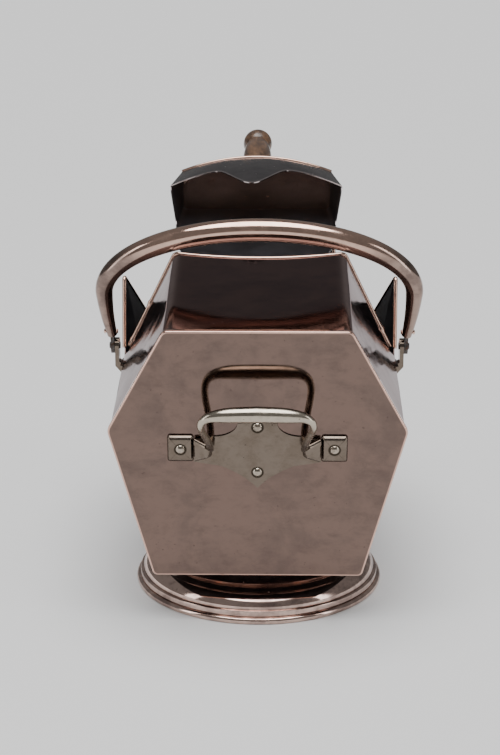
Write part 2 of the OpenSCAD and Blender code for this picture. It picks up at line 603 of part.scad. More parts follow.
// half-width of the floor, height and outward flare of the wall at a distance s from the back plate
function pan_half(s) = let (f = s / scoop_l) (scoop_half + 2 * min(1, s / horn_l)) * pow(1 - pow(f, 4.5), 0.5);
function pan_wall(s) = 1.2 + (scoop_wall_h - 1.2) * (1 - 0.86 * smoothstep((s - horn_l) / 26)
    - 0.14 * smoothstep((s - horn_l - 20) / 60));
function pan_flare(s) = (horn_half - scoop_half - 2) * min(1, s / horn_l) * pan_wall(s) / scoop_wall_h;
pan_ss = concat([0, 18, 36], [for (d = [0, 8, 16, 26, 50]) horn_l + d],
    [for (f = [0.74, 0.85, 0.93, 0.975]) scoop_l * f]);
// a section's floor, rounded corner and wall; in is how far it lies inside the sheet's outside
function pan_section(s, in) = let (b = pan_half(s) - in, h = pan_wall(s), c = min(7, h * 0.9),
    fl = pan_flare(s), right = [[b - c, in], [b - (c + in) * 0.3, (c + in) * 0.3], [b + fl * c / h, max(c, in * 1.1)],
        [b + fl, max(h, in * 1.2)]])
    [for (q = concat([for (k = [3 : -1 : 0]) [-right[k][0], right[k][1]]], right)) [q[0], -s, q[1]]];

module scoop_pan() color(dark_copper) on_scoop()
    sheet([for (s = pan_ss) pan_section(s, 0)], [for (s = pan_ss) pan_section(s, scoop_t)]);

function arch_h(f) = scoop_wall_h + scoop_arch * (1 - f * f);
arch_steps = 20;
module scoop_back() color(copper) on_scoop() difference() {
    translate([0, scoop_t + skin, 0]) rotate([90, 0, 0]) linear_extrude(scoop_t) polygon(concat(
        [[-scoop_half + 7, 0], [-scoop_half + 2, 2], [-scoop_half, 7]],
        [for (i = [0 : arch_steps]) let (f = 2 * i / arch_steps - 1) [scoop_half * f, arch_h(f) - skin]],
        [[scoop_half, 7], [scoop_half - 2, 2], [scoop_half - 7, 0]]));
    socket_holes();
}

tongue_off = 0.05;                             // the tongue's place off the middle, per half-width
tongue_half = 0.46;                            // the tongue's half-width, per half-width
function cover_length(f) = scallop_l
    + (tongue_l - scallop_l) * (1 - smoothstep(abs(f + tongue_off) / tongue_half))
    + (horn_l - scallop_l) * pow(max(0, (abs(f) - 0.5) / 0.5), 1.6);
cover_rows = 4;
function cover_row(g, lift) = [for (i = [0 : arch_steps]) let (f = 2 * i / arch_steps - 1,
    s = mix(-scoop_t - skin, cover_length(f), g),
    w = mix(scoop_half, horn_half - 0.5, min(1, max(0, s) / horn_l)))
    [w * f, -s, arch_h(f) + lift + 2 * skin - 3 * g * g * (1 - abs(f))]];
module scoop_cover() color(copper) on_scoop()
    sheet([for (k = [0 : cover_rows]) reversed(cover_row(k / cover_rows, scoop_t))],
        [for (k = [0 : cover_rows]) reversed(cover_row(k / cover_rows, 0))]);

scoop_bead_r = 1.7;
scoop_bead_up = 0.9;                           // the bead stands a little over the cover's top
module scoop_bead() color(copper) on_scoop()
    let (p = [for (i = [0 : arch_steps]) let (f = 2 * i / arch_steps - 1)
        [scoop_half * f, scoop_t + scoop_bead_r + 3 * skin, arch_h(f) + scoop_bead_up]])
    rod(p, [for (q = p) scoop_bead_r], 8, [0, 1, 0]);

socket_v = 27;                                 // height of the socket's middle on the back plate
socket_r = 12;
socket_l = 34;
flange_r = 21;
spigot_r = 10;
socket_flare = 2.4;                            // how far the socket spreads at its foot
socket_rivet_ring = 17.8;
socket_rivet_angles = [45, 135, 225, 315];
socket_rivet_r = 1.3;
flange_t = 1.4;
socket_start = 1.2 + flange_r * 0.1;           // clear of the flange, which the sloping socket leans towards
module socket_holes() for (a = socket_rivet_angles)
    translate([socket_rivet_ring * cos(a), 6, socket_v + socket_rivet_ring * sin(a)])
        rotate([90, 0, 0]) cylinder(h = 12, r = socket_rivet_r);
module on_handle() on_scoop()
    translate([0, scoop_t + 2 * skin, socket_v]) rotate([handle_rise - 90, 0, 0]) children();
module scoop_socket() color(copper) {
    on_scoop() difference() {
        translate([0, scoop_t + 2 * skin, socket_v]) rotate([-90, 0, 0]) cylinder(h = flange_t, r = flange_r);
        socket_holes();
    }
    on_handle() translate([0, 0, socket_start]) rotate_extrude() polygon(concat(
        [[spigot_r + skin, 0], [socket_r + socket_flare, -0.6]],
        [for (k = [0 : 5]) let (a = 90 * k / 5) [socket_r + socket_flare * (1 - sin(a)), 6 - 6 * cos(a) + 0.4]],
        [[socket_r + 1.4, socket_l - 3], [socket_r + 2.2, socket_l - 2], [socket_r + 2.2, socket_l],
            [spigot_r + skin, socket_l]]));
}
module socket_rivets() color(copper) on_scoop() for (a = socket_rivet_angles)
    translate([socket_rivet_ring * cos(a), scoop_t + flange_t + 4 * skin, socket_v + socket_rivet_ring * sin(a)])
        rotate([-90, 0, 0]) rivet(scoop_t + 2.2, socket_rivet_r, 2.4, 1.2);

handle_base = socket_start + socket_l;
handle_pin_r = 1.25;
handle_pin_at = handle_base - 9;
module scoop_handle() color(wood) on_handle() difference() {
    ball_r = ball_d / 2;
    neck = 0.8 * ball_r;
    rotate_extrude() polygon(concat([[0, 5], [spigot_r, 5], [spigot_r, handle_base + skin]],
        [[socket_r + 1.6, handle_base + skin], [socket_r + 2.4, handle_base + 1.5],
            [socket_r + 2.4, handle_base + 4]],
        [for (k = [0 : 12]) let (f = k / 12, s = mix(handle_base + 5.5, handle_l - ball_r * 0.62, f))
            [mix(socket_r, neck, f) + 3.6 * sin(180 * f), s]],
        [for (k = [0 : 12]) let (a = mix(-40, 90, k / 12))
            [max(0, ball_r * cos(a)), handle_l + ball_r * sin(a)]]));
    translate([0, 0, handle_pin_at]) rotate([0, 90, 0]) cylinder(h = 60, r = handle_pin_r, center = true);
}
module handle_pin() color(iron) on_handle() translate([0, 0, handle_pin_at]) rotate([0, 90, 0])
    cylinder(h = 2 * spigot_r, r = handle_pin_r, center = true);

back_panel();
floor_sheet();
front_apron();
left_side();
right_side();
hood();
hood_rim_wire();
mouth_rim_wire();
foot();
foot_rim_bead();
foot_collar();
left_ear();
right_ear();
ear_rivets();
ear_burrs();
pivot_pins();
handle_shield();
tipping_handle();
shield_rivets();
pad_rivets();
panel_burrs();
bail_tube();
left_bail_end();
right_bail_end();
bail_rivets();
scoop_pan();
scoop_back();
scoop_cover();
scoop_bead();
scoop_socket();
socket_rivets();
scoop_handle();
handle_pin();
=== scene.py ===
"""Copper coal scuttle: finer sheets, tubes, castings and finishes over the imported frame."""
import math
import bmesh
import bpy
import numpy as np
from bpy.props import FloatProperty, FloatVectorProperty, PointerProperty
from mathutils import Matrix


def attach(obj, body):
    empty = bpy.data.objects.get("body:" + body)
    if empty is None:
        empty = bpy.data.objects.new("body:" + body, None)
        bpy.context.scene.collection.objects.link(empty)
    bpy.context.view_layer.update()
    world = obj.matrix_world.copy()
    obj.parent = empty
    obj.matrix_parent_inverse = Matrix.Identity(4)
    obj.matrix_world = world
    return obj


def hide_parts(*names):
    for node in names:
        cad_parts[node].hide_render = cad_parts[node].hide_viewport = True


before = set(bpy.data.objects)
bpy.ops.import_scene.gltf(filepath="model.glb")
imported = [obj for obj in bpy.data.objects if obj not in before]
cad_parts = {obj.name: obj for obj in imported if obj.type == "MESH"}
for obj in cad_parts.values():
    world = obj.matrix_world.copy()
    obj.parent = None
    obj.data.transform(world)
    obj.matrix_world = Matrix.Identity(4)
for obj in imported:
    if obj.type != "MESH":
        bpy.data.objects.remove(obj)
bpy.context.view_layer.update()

bl_info = {
    "name": "Copper Coal Scuttle",
    "version": (1, 0, 0),
    "blender": (4, 5, 0),
    "location": "3D View > Sidebar > Scuttle",
    "description": "Builds the visible sheets, tubes, castings and finishes of a copper coal scuttle",
    "category": "Object",
}

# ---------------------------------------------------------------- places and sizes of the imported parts
PANEL_LEAN = math.radians(9)
PANEL_FOOT = np.array([0, -0.123, 0.050])
PANEL_HALVES = (0.098, 0.136, 0.083)        # half-widths at the bottom, the widest corners and the top
PANEL_HEIGHTS = (0.0, 0.152, 0.249)
PANEL_THICK = 0.0016
PANEL_FOLD = 0.0032
BODY_HALVES = (0.095, 0.133, 0.0815)
PAD_X = 0.0695
PAD_V = 0.1355
PAD_HALF = np.array([0.012, 0.013])
PAD_THICK = 0.0046
SHIELD_THICK = 0.0015
SKIN = 0.00002                              # gap that keeps touching faces apart
SHIELD_HALF = PAD_X - 0.0115
SHIELD_RIVETS = (PAD_V + 0.021, PAD_V - 0.0245)
BAR_V = 0.1905
BAR_OFF = 0.045
BAR_HALF = 0.049
BAR_DIAMETER = 0.0144
PIVOT = np.array([0, 0.030, 0.235])
BAIL_LEAN = math.radians(25)
SCOOP_TILT = math.radians(8.5)
HANDLE_RISE = math.radians(7.2)
SCOOP_LENGTH = 0.218
SCOOP_SHEET = 0.001
SCOOP_WALL = 0.043
SCOOP_ARCH = 0.0165
SCOOP_HALF = 0.084
HORN_HALF = 0.094
HORN_LENGTH = 0.054
TONGUE_LENGTH = 0.088
SCALLOP_LENGTH = 0.036
TONGUE_SHIFT = 0.05                         # how far left of the middle the tongue lies, in half-widths
SCOOP_ORIGIN = np.array([-0.005, 0.25006, 0.33857])


# ---------------------------------------------------------------- shapes as whole arrays
def lerp(a, b, f):
    """The point a fraction f of the way from a to b."""
    return a + (b - a) * f


def unit(vectors):
    """Vectors divided by their lengths."""
    return vectors / np.maximum(np.linalg.norm(vectors, axis=-1, keepdims=True), 1e-12)


def smoothstep(f):
    """3 f^2 - 2 f^3, held at 0 and 1 outside that range."""
    g = np.clip(f, 0, 1)
    return g * g * (3 - 2 * g)


def tilted(points, angle, origin=(0, 0, 0)):
    """Points turned about the X axis by an angle, then moved so that their origin lies at origin."""
    c, s = math.cos(angle), math.sin(angle)
    turn = np.array([[1, 0, 0], [0, c, -s], [0, s, c]])
    return np.asarray(points) @ turn.T + np.asarray(origin)


def on_panel(points):
    """Points given as across, up the panel and outwards, placed on the leaning back panel."""
    return tilted(points, math.pi / 2 + PANEL_LEAN, PANEL_FOOT)


def on_scoop(points):
    """Points given as across, towards the handle and up from the floor, placed on the sloping scoop."""
    return tilted(points, SCOOP_TILT, SCOOP_ORIGIN)


def grid_faces(rows, cols, wrap_rows=False, wrap_cols=False):
    """Quads between neighbouring rows and columns of a grid; a wrapped side joins last to first."""
    r, c = np.meshgrid(np.arange(rows if wrap_rows else rows - 1),
                       np.arange(cols if wrap_cols else cols - 1), indexing="ij")
    r2, c2 = (r + 1) % rows, (c + 1) % cols
    return np.stack([r * cols + c, r * cols + c2, r2 * cols + c2, r2 * cols + c], -1).reshape(-1, 4)


def grid_normals(grid):
    """Unit normals of a grid, from the cross product of its differences along columns and along rows."""
    return unit(np.cross(np.gradient(grid, axis=1), np.gradient(grid, axis=0)))


def ripple(points, height, length):
    """Height of soft dents at each point: three crossed sine waves of unlike lengths and directions."""
    x, y, z = (points[..., k] * 2 * math.pi / length for k in range(3))
    return height / 3 * (np.sin(x + 0.6 * z + 1.3) + np.sin(0.7 * y - 0.8 * x + 0.4 * z)
                         + np.sin(1.3 * z + 0.5 * y))


def shell(grid, thickness, dent=0.0, dent_length=0.07):
    """A closed sheet: the grid, moved along its normals by the dents, and a copy one thickness inside it.

    Returns points, quads and a 0 or 1 for each quad, 1 on the inner copy. A negative thickness is for a
    grid whose normals point inwards.
    """
    rows, cols = grid.shape[:2]
    normals = grid_normals(grid)
    outer = grid + normals * ripple(grid, dent, dent_length)[..., None]
    inner = outer - normals * thickness
    count = rows * cols
    quads = grid_faces(rows, cols)
    index = np.arange(count).reshape(rows, cols)
    border = np.concatenate([index[0, :], index[1:, -1], index[-1, -2::-1], index[-2:0:-1, 0]])
    following = np.roll(border, -1)
    rim = np.stack([following, border, border + count, following + count], -1)
    faces = np.concatenate([quads, rim, quads[:, ::-1] + count])
    inside = np.concatenate([np.zeros(len(quads) + len(rim), int), np.ones(len(quads), int)])
    return np.concatenate([outer.reshape(-1, 3), inner.reshape(-1, 3)]), faces, inside


def rod(path, radii, reference, sides=28, ends=((0.0, 0.0),)):
    """A round bar along a path: circles of the given radii, square to the path.

    The circles are turned so that they share the reference direction. ends lists, from the outer edge of
    an end inwards, how far along the bar and how wide its finish is; the last radius is 0.
    """
    tangents = unit(np.gradient(path, axis=0))
    radii = np.broadcast_to(radii, len(path))
    offsets, widths = np.array(ends).T
    head = path[0] + tangents[0] * offsets[::-1, None]
    tail = path[-1] - tangents[-1] * offsets[:, None]
    points = np.concatenate([head, path, tail])
    tangents = np.concatenate([np.repeat(tangents[:1], len(ends), 0), tangents,
                               np.repeat(tangents[-1:], len(ends), 0)])
    radii = np.concatenate([widths[::-1], radii, widths])
    side = unit(np.cross(tangents, np.asarray(reference, float)))
    lift = np.cross(side, tangents)
    turn = np.linspace(0, 2 * math.pi, sides, endpoint=False)[None, :, None]
    spokes = np.cos(turn) * side[:, None] + np.sin(turn) * lift[:, None]
    rings = points[:, None] + radii[:, None, None] * spokes
    return rings.reshape(-1, 3), grid_faces(len(points), sides, wrap_cols=True)


def turned(profile, sides=128, closed=True):
    """A profile of radius and height carried round the Z axis; a closed one joins up with its start."""
    profile = np.asarray(profile, float)
    turn = np.linspace(0, 2 * math.pi, sides, endpoint=False)
    radius, height = profile[:, :1], profile[:, 1:]
    heights = np.broadcast_to(height, (len(profile), sides))
    rings = np.stack([radius * np.cos(turn), radius * np.sin(turn), heights], -1)
    return rings.reshape(-1, 3), grid_faces(len(profile), sides, wrap_rows=closed, wrap_cols=True)


def plate(outline, rings):
    """A plate inside a closed outline in the XY plane, from its back middle round its edge to the front's.

    Each ring gives shrink, inset and height: the outline is moved in by inset along its corners' normals,
    then scaled about its middle by shrink.
    """
    ahead = unit(np.roll(outline, -1, 0) - outline)
    behind = unit(outline - np.roll(outline, 1, 0))
    normal = np.stack([ahead[:, 1] + behind[:, 1], -ahead[:, 0] - behind[:, 0]], -1)
    normal /= np.maximum((1 + (ahead * behind).sum(1)), 0.3)[:, None]
    shrink, inset, height = (np.array(column)[:, None, None] for column in zip(*rings))
    middle = (outline.max(0) + outline.min(0)) / 2
    flat = middle + shrink * (outline - inset * normal - middle)
    points = np.concatenate([flat, np.broadcast_to(height, flat.shape[:2] + (1,))], -1)
    return points.reshape(-1, 3), grid_faces(len(rings), len(outline), wrap_cols=True)


def rounded(corners, reach, steps=8, closed=True):
    """A line through corners, each replaced by a quadratic curve that starts and ends at reach from it."""
    corners = np.asarray(corners, float)
    before, after = np.roll(corners, 1, 0), np.roll(corners, -1, 0)
    start = corners + reach * unit(before - corners)
    end = corners + reach * unit(after - corners)
    f = np.linspace(0, 1, steps + 1)[None, :, None]
    curve = (1 - f) ** 2 * start[:, None] + 2 * f * (1 - f) * corners[:, None] + f ** 2 * end[:, None]
    if closed:
        return curve.reshape(-1, corners.shape[1])
    return np.concatenate([corners[:1], curve[1:-1].reshape(-1, corners.shape[1]), corners[-1:]])


def through(knots, count):
    """A smooth curve through knots: cubic pieces whose slopes are half the step between the neighbours."""
    knots = np.asarray(knots, float)
    padded = np.concatenate([2 * knots[:1] - knots[1:2], knots, 2 * knots[-1:] - knots[-2:-1]])
    t = np.linspace(0, len(knots) - 1, count)
    i = np.minimum(t.astype(int), len(knots) - 2)
    f = (t - i)[:, None]
    a, b, c, d = (padded[i + k] for k in range(4))
    return 0.5 * (2 * b + (c - a) * f + (2 * a - 5 * b + 4 * c - d) * f ** 2
                  + (3 * b - a - 3 * c + d) * f ** 3)


def resampled(line, spacing, closed=False):
    """The same line with points about spacing apart, kept at its own corners."""
    line = np.concatenate([line, line[:1]]) if closed else line
    gaps = np.linalg.norm(np.diff(line, axis=0), axis=1)
    cuts = np.maximum(1, np.ceil(gaps / spacing).astype(int))
    along = np.concatenate([[0], np.cumsum(gaps)])
    steps = [np.linspace(along[k], along[k + 1], n, endpoint=False) for k, n in enumerate(cuts)]
    marks = np.concatenate(steps + ([] if closed else [along[-1:]]))
    return np.stack([np.interp(marks, along, line[:, k]) for k in range(line.shape[1])], -1)


def both_ways(points):
    """The points and the same points with X turned round, in reverse order, as one line."""
    return np.concatenate([points, points[::-1] * [-1, 1, 1]])


def joined(parts):
    """Several parts' points and quads as one."""
    starts = np.cumsum([0] + [len(points) for points, _ in parts[:-1]])
    return (np.concatenate([points for points, _ in parts]),
            np.concatenate([quads + start for (_, quads), start in zip(parts, starts)]))


def make_piece(name, points, quads, finishes, body, stands_for, inside=None, crease=35, worn=None):
    """The last argument gives each point 0 to 1, how much lighter the metal is there: worn bright by
    handling on the handle's bar and the bail's grip, a painted highlight on the panel's edge, the hood's
    folds and the scoop cover's front edge.
    """
    mesh = bpy.data.meshes.new(name)
    mesh.from_pydata(points.tolist(), [], quads.tolist())
    if worn is not None:
        mesh.attributes.new("worn", "FLOAT", "POINT").data.foreach_set("value", worn.astype(np.float32))
    if inside is not None:
        mesh.polygons.foreach_set("material_index", inside.astype(np.int32))
    shape = bmesh.new()
    shape.from_mesh(mesh)
    bmesh.ops.remove_doubles(shape, verts=shape.verts, dist=1e-7)
    if shape.calc_volume(signed=True) < 0:
        bmesh.ops.reverse_faces(shape, faces=shape.faces)
    shape.to_mesh(mesh)
    shape.free()
    for finish in finishes:
        mesh.materials.append(finish)
    mesh.polygons.foreach_set("use_smooth", [True] * len(mesh.polygons))
    mesh.set_sharp_from_angle(angle=math.radians(crease))
    mesh.update()
    piece = bpy.data.objects.new(name, mesh)
    bpy.context.collection.objects.link(piece)
    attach(piece, body)
    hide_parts(*stands_for)
    return piece


# ---------------------------------------------------------------- finishes
class Strand:
    """A socket in a finish's node tree. Arithmetic on it adds Math nodes."""

    def __init__(self, finish, socket):
        self.finish = finish
        self.socket = socket

    def sum(self, operation, first, second):
        return self.finish.node("ShaderNodeMath", {"operation": operation}, {0: first, 1: second})

    def __add__(self, other):
        return self.sum("ADD", self, other)

    def __sub__(self, other):
        return self.sum("SUBTRACT", self, other)

    def __mul__(self, other):
        return self.sum("MULTIPLY", self, other)

    def __radd__(self, other):
        return self.sum("ADD", other, self)

    def __rsub__(self, other):
        return self.sum("SUBTRACT", other, self)

    def __rmul__(self, other):
        return self.sum("MULTIPLY", other, self)


class Finish:
    """One material and the nodes that feed its Principled shader."""

    def __init__(self, name, constants):
        self.material = bpy.data.materials.new(name)
        self.material.use_nodes = True
        self.tree = self.material.node_tree
        self.shader = self.tree.nodes["Principled BSDF"]
        for socket, value in constants.items():
            self.feed(socket, value)
        self.place = self.node("ShaderNodeTexCoord", output="Object")

    def node(self, kind, settings=None, inputs=None, output=0):
        """Adds a node, gives it its settings, then the values or links of its sockets."""
        made = self.tree.nodes.new(kind)
        for setting, value in (settings or {}).items():
            setattr(made, setting, value)
        for socket, value in (inputs or {}).items():
            if isinstance(value, Strand):
                self.tree.links.new(value.socket, made.inputs[socket])
            else:
                made.inputs[socket].default_value = value
        return Strand(self, made.outputs[output])

    def feed(self, socket, value):
        """Links a strand to a socket of the shader, or sets the socket's own value."""
        if isinstance(value, Strand):
            self.tree.links.new(value.socket, self.shader.inputs[socket])
        else:
            self.shader.inputs[socket].default_value = value

    def noise(self, size, detail=3.0, roughness=0.55, stretch=(1, 1, 1), turn=(0, 0, 0), warp=0.0):
        """Noise whose patches are about size metres across, longer where stretch is less than 1."""
        place = self.node("ShaderNodeMapping", None,
                          {"Vector": self.place, "Rotation": turn, "Scale": stretch})
        return self.node("ShaderNodeTexNoise", None, {
            "Vector": place, "Scale": 1 / size, "Detail": detail, "Roughness": roughness,
            "Distortion": warp})

    def near(self, points, inner, outer):
        """1 within inner metres of any of the points, falling to 0 at outer metres."""
        mask = 0.0
        for point in points:
            away = self.node("ShaderNodeVectorMath", {"operation": "DISTANCE"},
                             {0: self.place, 1: point}, output=1)
            close = self.step(away, inner, outer, 1, 0)
            mask = self.node("ShaderNodeMath", {"operation": "MAXIMUM"}, {0: close, 1: mask})
        return mask

    def step(self, value, low, high, start=0.0, end=1.0):
        """A smooth step of a value between low and high, held outside them."""
        return self.node("ShaderNodeMapRange", {"interpolation_type": "SMOOTHSTEP"}, {
            0: value, 1: low, 2: high, 3: start, 4: end})

    def mix(self, factor, first, second):
        """A colour between two colours."""
        colours = [c if isinstance(c, Strand) else (*c, 1.0)[:4] for c in (first, second)]
        return self.node("ShaderNodeMix", {"data_type": "RGBA"},
                         {0: factor, 6: colours[0], 7: colours[1]}, output=2)

    def specks_and_rings(self, specks, rivets):
        """Dirt in the specks and, where there are rivets, a darker ring round each."""
        return specks + self.near(rivets, 0.0050, 0.0064) * 0.95 if rivets else specks

    def bump(self, height, depth, strength=1.0):
        """Feeds the shader's Normal with a relief whose full height is depth metres."""
        self.feed("Normal", self.node("ShaderNodeBump", None, {
            "Strength": strength, "Distance": depth, "Height": height}))


SOIL = (0.055, 0.035, 0.03)


def old_metal(name, bright, dull, soil=SOIL, gloss=0.12, haze=0.12, cloud=0.05, dents=0.0006, specks=0.35,
              threshold=0.5, wear_and_sheen=None, rivets=(), rim=(1, 1, 1)):
    """Polished sheet metal with age: cloudy tarnish, soft dents, fine wiping marks and small dark specks.

    Where a piece's attribute is set, its colour turns to the lighter wear colour: handling wear on the
    handle's bar and the bail's grip, a painted highlight on the panel's edge, the hood's folds and the
    scoop cover's front edge. The metal is darker in a ring round each rivet.
    rim tints what the metal mirrors at a grazing angle.
    """
    finish = Finish(name, {"Metallic": 1.0, "Specular Tint": (*rim, 1)})
    clouds = finish.noise(cloud, detail=6, roughness=0.62, warp=0.4)
    wisps = finish.noise(cloud * 0.22, detail=6, roughness=0.72, stretch=(0.6, 0.8, 1), warp=0.3)
    marks = finish.noise(0.0012, detail=2, stretch=(0.06, 0.06, 1), turn=(0.3, 0.5, 0.2))
    pits = finish.noise(0.0042, detail=1, roughness=0.4)
    tarnish = finish.step(clouds * 0.7 + wisps * 0.3, threshold - 0.09, threshold + 0.12)
    speck = finish.step(pits, 0.745, 0.79)
    skin = finish.mix(tarnish, bright, dull)
    skin = finish.mix(finish.step(wisps, 0.45, 0.8) * 0.2, skin, soil)
    # Lighter where the piece's attribute is set: handling wear, and a painted highlight on the panel, the
    # hood and the scoop cover.
    if wear_and_sheen:
        worn = finish.node("ShaderNodeAttribute", {"attribute_name": "worn"}, output=2)
        skin = finish.mix(worn * finish.step(wisps, 0.2, 0.6, 0.6, 1), skin, wear_and_sheen)
    # Dark specks, and a darker ring round each rivet.
    specks_and_rings = finish.specks_and_rings(speck * specks, rivets)
    finish.feed("Base Color", finish.mix(specks_and_rings, skin, soil))
    finish.feed("Roughness", tarnish * haze + marks * 0.05 + specks_and_rings * 0.4 + (gloss - 0.025))
    relief = finish.noise(0.055, detail=1, roughness=0.3) + marks * 0.004 - speck * 0.01
    finish.bump(relief, dents)
    return finish.material


def sooty(name, colour, ash):
    """Coal-blackened metal: soot with ashy patches and a fine grain."""
    finish = Finish(name, {"Metallic": 0.55, "Specular IOR Level": 0.35})
    patches = finish.noise(0.03, detail=6, roughness=0.65)
    grain = finish.noise(0.0016, detail=3)
    finish.feed("Base Color", finish.mix(finish.step(patches + grain * 0.3, 0.55, 0.9), colour, ash))
    finish.feed("Roughness", patches * 0.25 + grain * 0.1 + 0.42)
    finish.bump(grain + patches * 0.5, 0.00015)
    return finish.material


def forged_iron(name, colour, rust):
    """Wrought iron: dark scale, worn brighter on the high grain, with rust in its hollows."""
    finish = Finish(name, {"Metallic": 0.85})
    scale = finish.noise(0.004, detail=5, roughness=0.65)
    grain = finish.noise(0.0009, detail=3)
    finish.feed("Base Color", finish.mix(finish.step(scale, 0.5, 0.68), colour, rust))
    finish.feed("Roughness", scale * 0.3 + grain * 0.15 + 0.25)
    finish.bump(scale + grain * 0.4, 0.0004)
    return finish.material


def polished_wood(name, pale, dark):
    """Turned hardwood under old polish: figure and pores drawn out along the handle, and a glossy coat."""
    finish = Finish(name, {"Specular IOR Level": 0.5, "Coat Roughness": 0.18})
    turn = (-(SCOOP_TILT + HANDLE_RISE), 0, 0)
    figure = finish.noise(0.007, detail=5, roughness=0.6, stretch=(1, 0.12, 1), turn=turn, warp=0.8)
    pores = finish.noise(0.0009, detail=2, stretch=(1, 0.05, 1), turn=turn)
    wear_and_sheen = finish.noise(0.03, detail=4)
    colour = finish.mix(finish.step(figure, 0.36, 0.66), dark, pale)
    colour = finish.mix(finish.step(pores, 0.56, 0.7) * 0.6, colour, tuple(c * 0.3 for c in dark))
    finish.feed("Base Color", colour)
    finish.feed("Roughness", wear_and_sheen * 0.25 + pores * 0.1 + 0.2)
    finish.feed("Coat Weight", finish.step(wear_and_sheen, 0.35, 0.6, 0.7, 0.3))
    finish.bump(figure * 0.3 + pores, 0.00025)
    return finish.material


# ---------------------------------------------------------------- sizes and colours a user would change
def colour(name, description, default):
    return FloatVectorProperty(name=name, description=description, subtype="COLOR", size=3, min=0, max=1,
                               default=default)


def length(name, description, default, low, high):
    return FloatProperty(name=name, description=description, unit="LENGTH", default=default, min=low,
                         max=high, precision=4)


class ScuttleColours(bpy.types.PropertyGroup):
    """Colours of the metals and the wood."""
    copper: colour("Copper", "Polished copper of the tubes, the wires and the foot", (0.74, 0.50, 0.40))
    panel: colour("Panel", "Clean copper of the back panel", (0.19, 0.131, 0.110))
    tarnish: colour("Tarnish", "Cloudy tarnish on the panel", (0.152, 0.108, 0.093))
    hood: colour("Hood", "Brown copper of the hood and the sides", (0.15, 0.105, 0.095))
    brass: colour("Brass", "Pale brass of the handle, the shield and the ears", (0.185, 0.150, 0.122))
    wood: colour("Wood", "Polished wood of the scoop's handle", (0.16, 0.085, 0.045))


class ScuttleSizes(bpy.types.PropertyGroup):
    """Sizes of the finer surfaces."""
    sheet: length("Sheet", "Thickness of the body's sheets", 0.0012, 0.0008, 0.0016)
    fold: length("Fold", "Reach of the rounding where a sheet is folded", 0.007, 0.002, 0.008)
    wire: length("Wire", "Radius of the wired edges", 0.0022, 0.0016, 0.0028)
    dent: length("Dents", "Height of the soft dents in the sheets", 0.0002, 0.0, 0.0008)
    edge: length("Edge", "Rounding of the panel's edge", 0.0013, 0.0005, 0.0016)


class ScuttleStage(bpy.types.PropertyGroup):
    """Light of the studio."""
    overhead: FloatProperty(name="Overhead", description="Strength of the broad light above", default=3.4,
                            min=0, max=10)
    sides: FloatProperty(name="Sides", description="Power of the two tall side lights", default=5.0,
                         min=0, max=80)
    room: FloatProperty(name="Room", description="Brightness of the dark room around", default=0.2,
                        min=0, max=1)


FINISHES = {}


class SCUTTLE_OT_finishes(bpy.types.Operator):
    """Mix the metals and the wood, and give them to the parts that keep their own shape"""
    bl_idname = "scuttle.finishes"
    bl_label = "Finishes"

    def execute(self, context):
        c = context.scene.scuttle_colours
        seats = ([[0, v, SHIELD_THICK] for v in SHIELD_RIVETS]
                 + [[x, PAD_V, PAD_THICK] for x in (PAD_X, -PAD_X)])
        rivets = [tuple(point) for point in on_panel(seats)]
        FINISHES.update(
            copper=old_metal("polished_copper", tuple(c.copper), (0.62, 0.37, 0.29), gloss=0.07, cloud=0.04,
                             dents=0.0003, threshold=0.6),
            # The panel's lighter colour along its rolled edge is a painted highlight.
            panel=old_metal("clouded_copper", tuple(c.panel), tuple(c.tarnish), gloss=0.05, haze=0.05,
                            dents=0.0003, wear_and_sheen=(0.75, 0.48, 0.39)),
            foot=old_metal("foot_copper", (0.70, 0.52, 0.45), (0.36, 0.26, 0.23), gloss=0.08, cloud=0.035,
                           dents=0.0003, threshold=0.52),
            bail=old_metal("smoky_copper", (0.35, 0.255, 0.215), (0.19, 0.14, 0.122), gloss=0.08,
                           cloud=0.035, dents=0.0003, wear_and_sheen=tuple(c.copper)),
            # The hood's lighter colour along its folds is a painted highlight.
            hood=old_metal("brown_copper", tuple(c.hood), (0.11, 0.08, 0.078), gloss=0.07, haze=0.08,
                           cloud=0.06, dents=0.0007, wear_and_sheen=(0.50, 0.40, 0.37), rim=(0.68, 0.62, 0.63)),
            brass=old_metal("pale_brass", tuple(c.brass), (0.160, 0.126, 0.100), (0.035, 0.027, 0.018),
                            cloud=0.02, dents=0.0003, specks=0.5, wear_and_sheen=(0.5, 0.44, 0.36), rivets=rivets),
            # The lighter colour along the scoop cover's front edge is a painted highlight.
            scoop=old_metal("slate_copper", (0.185, 0.165, 0.17), (0.135, 0.122, 0.128), gloss=0.14,
                            haze=0.1, cloud=0.03, dents=0.0004, wear_and_sheen=(0.62, 0.54, 0.53)),
            stud=old_metal("rubbed_brass", (0.46, 0.40, 0.33), (0.3, 0.25, 0.2), gloss=0.16, cloud=0.01,
                           dents=0.0001),
            soot=sooty("sooty_copper", (0.011, 0.010, 0.012), (0.034, 0.032, 0.036)),
            iron=forged_iron("forged_iron", (0.11, 0.10, 0.095), (0.10, 0.055, 0.035)),
            wood=polished_wood("polished_wood", tuple(c.wood), (0.055, 0.028, 0.016)))
        for finish, nodes in {
                "foot": ("foot_rim_bead", "foot_collar"),
                "stud": ("shield_rivets", "pad_rivets", "ear_rivets"),
                "copper": ("ear_burrs", "panel_burrs", "bail_rivets", "scoop_back",
                           "scoop_socket", "socket_rivets"),
                "brass": ("left_ear", "right_ear"),
                "iron": ("left_bail_end", "right_bail_end", "pivot_pins", "handle_pin"),
                "soot": ("floor_sheet",)}.items():
            for name in nodes:
                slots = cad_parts[name].data.materials
                slots.clear()
                slots.append(FINISHES[finish])
        return {"FINISHED"}


def hexagon():
    """The panel's outline, anticlockwise seen from outside, from its corners' half-widths and heights."""
    right = np.array([PANEL_HALVES, PANEL_HEIGHTS]).T
    return np.concatenate([right, right[::-1] * [-1, 1]])


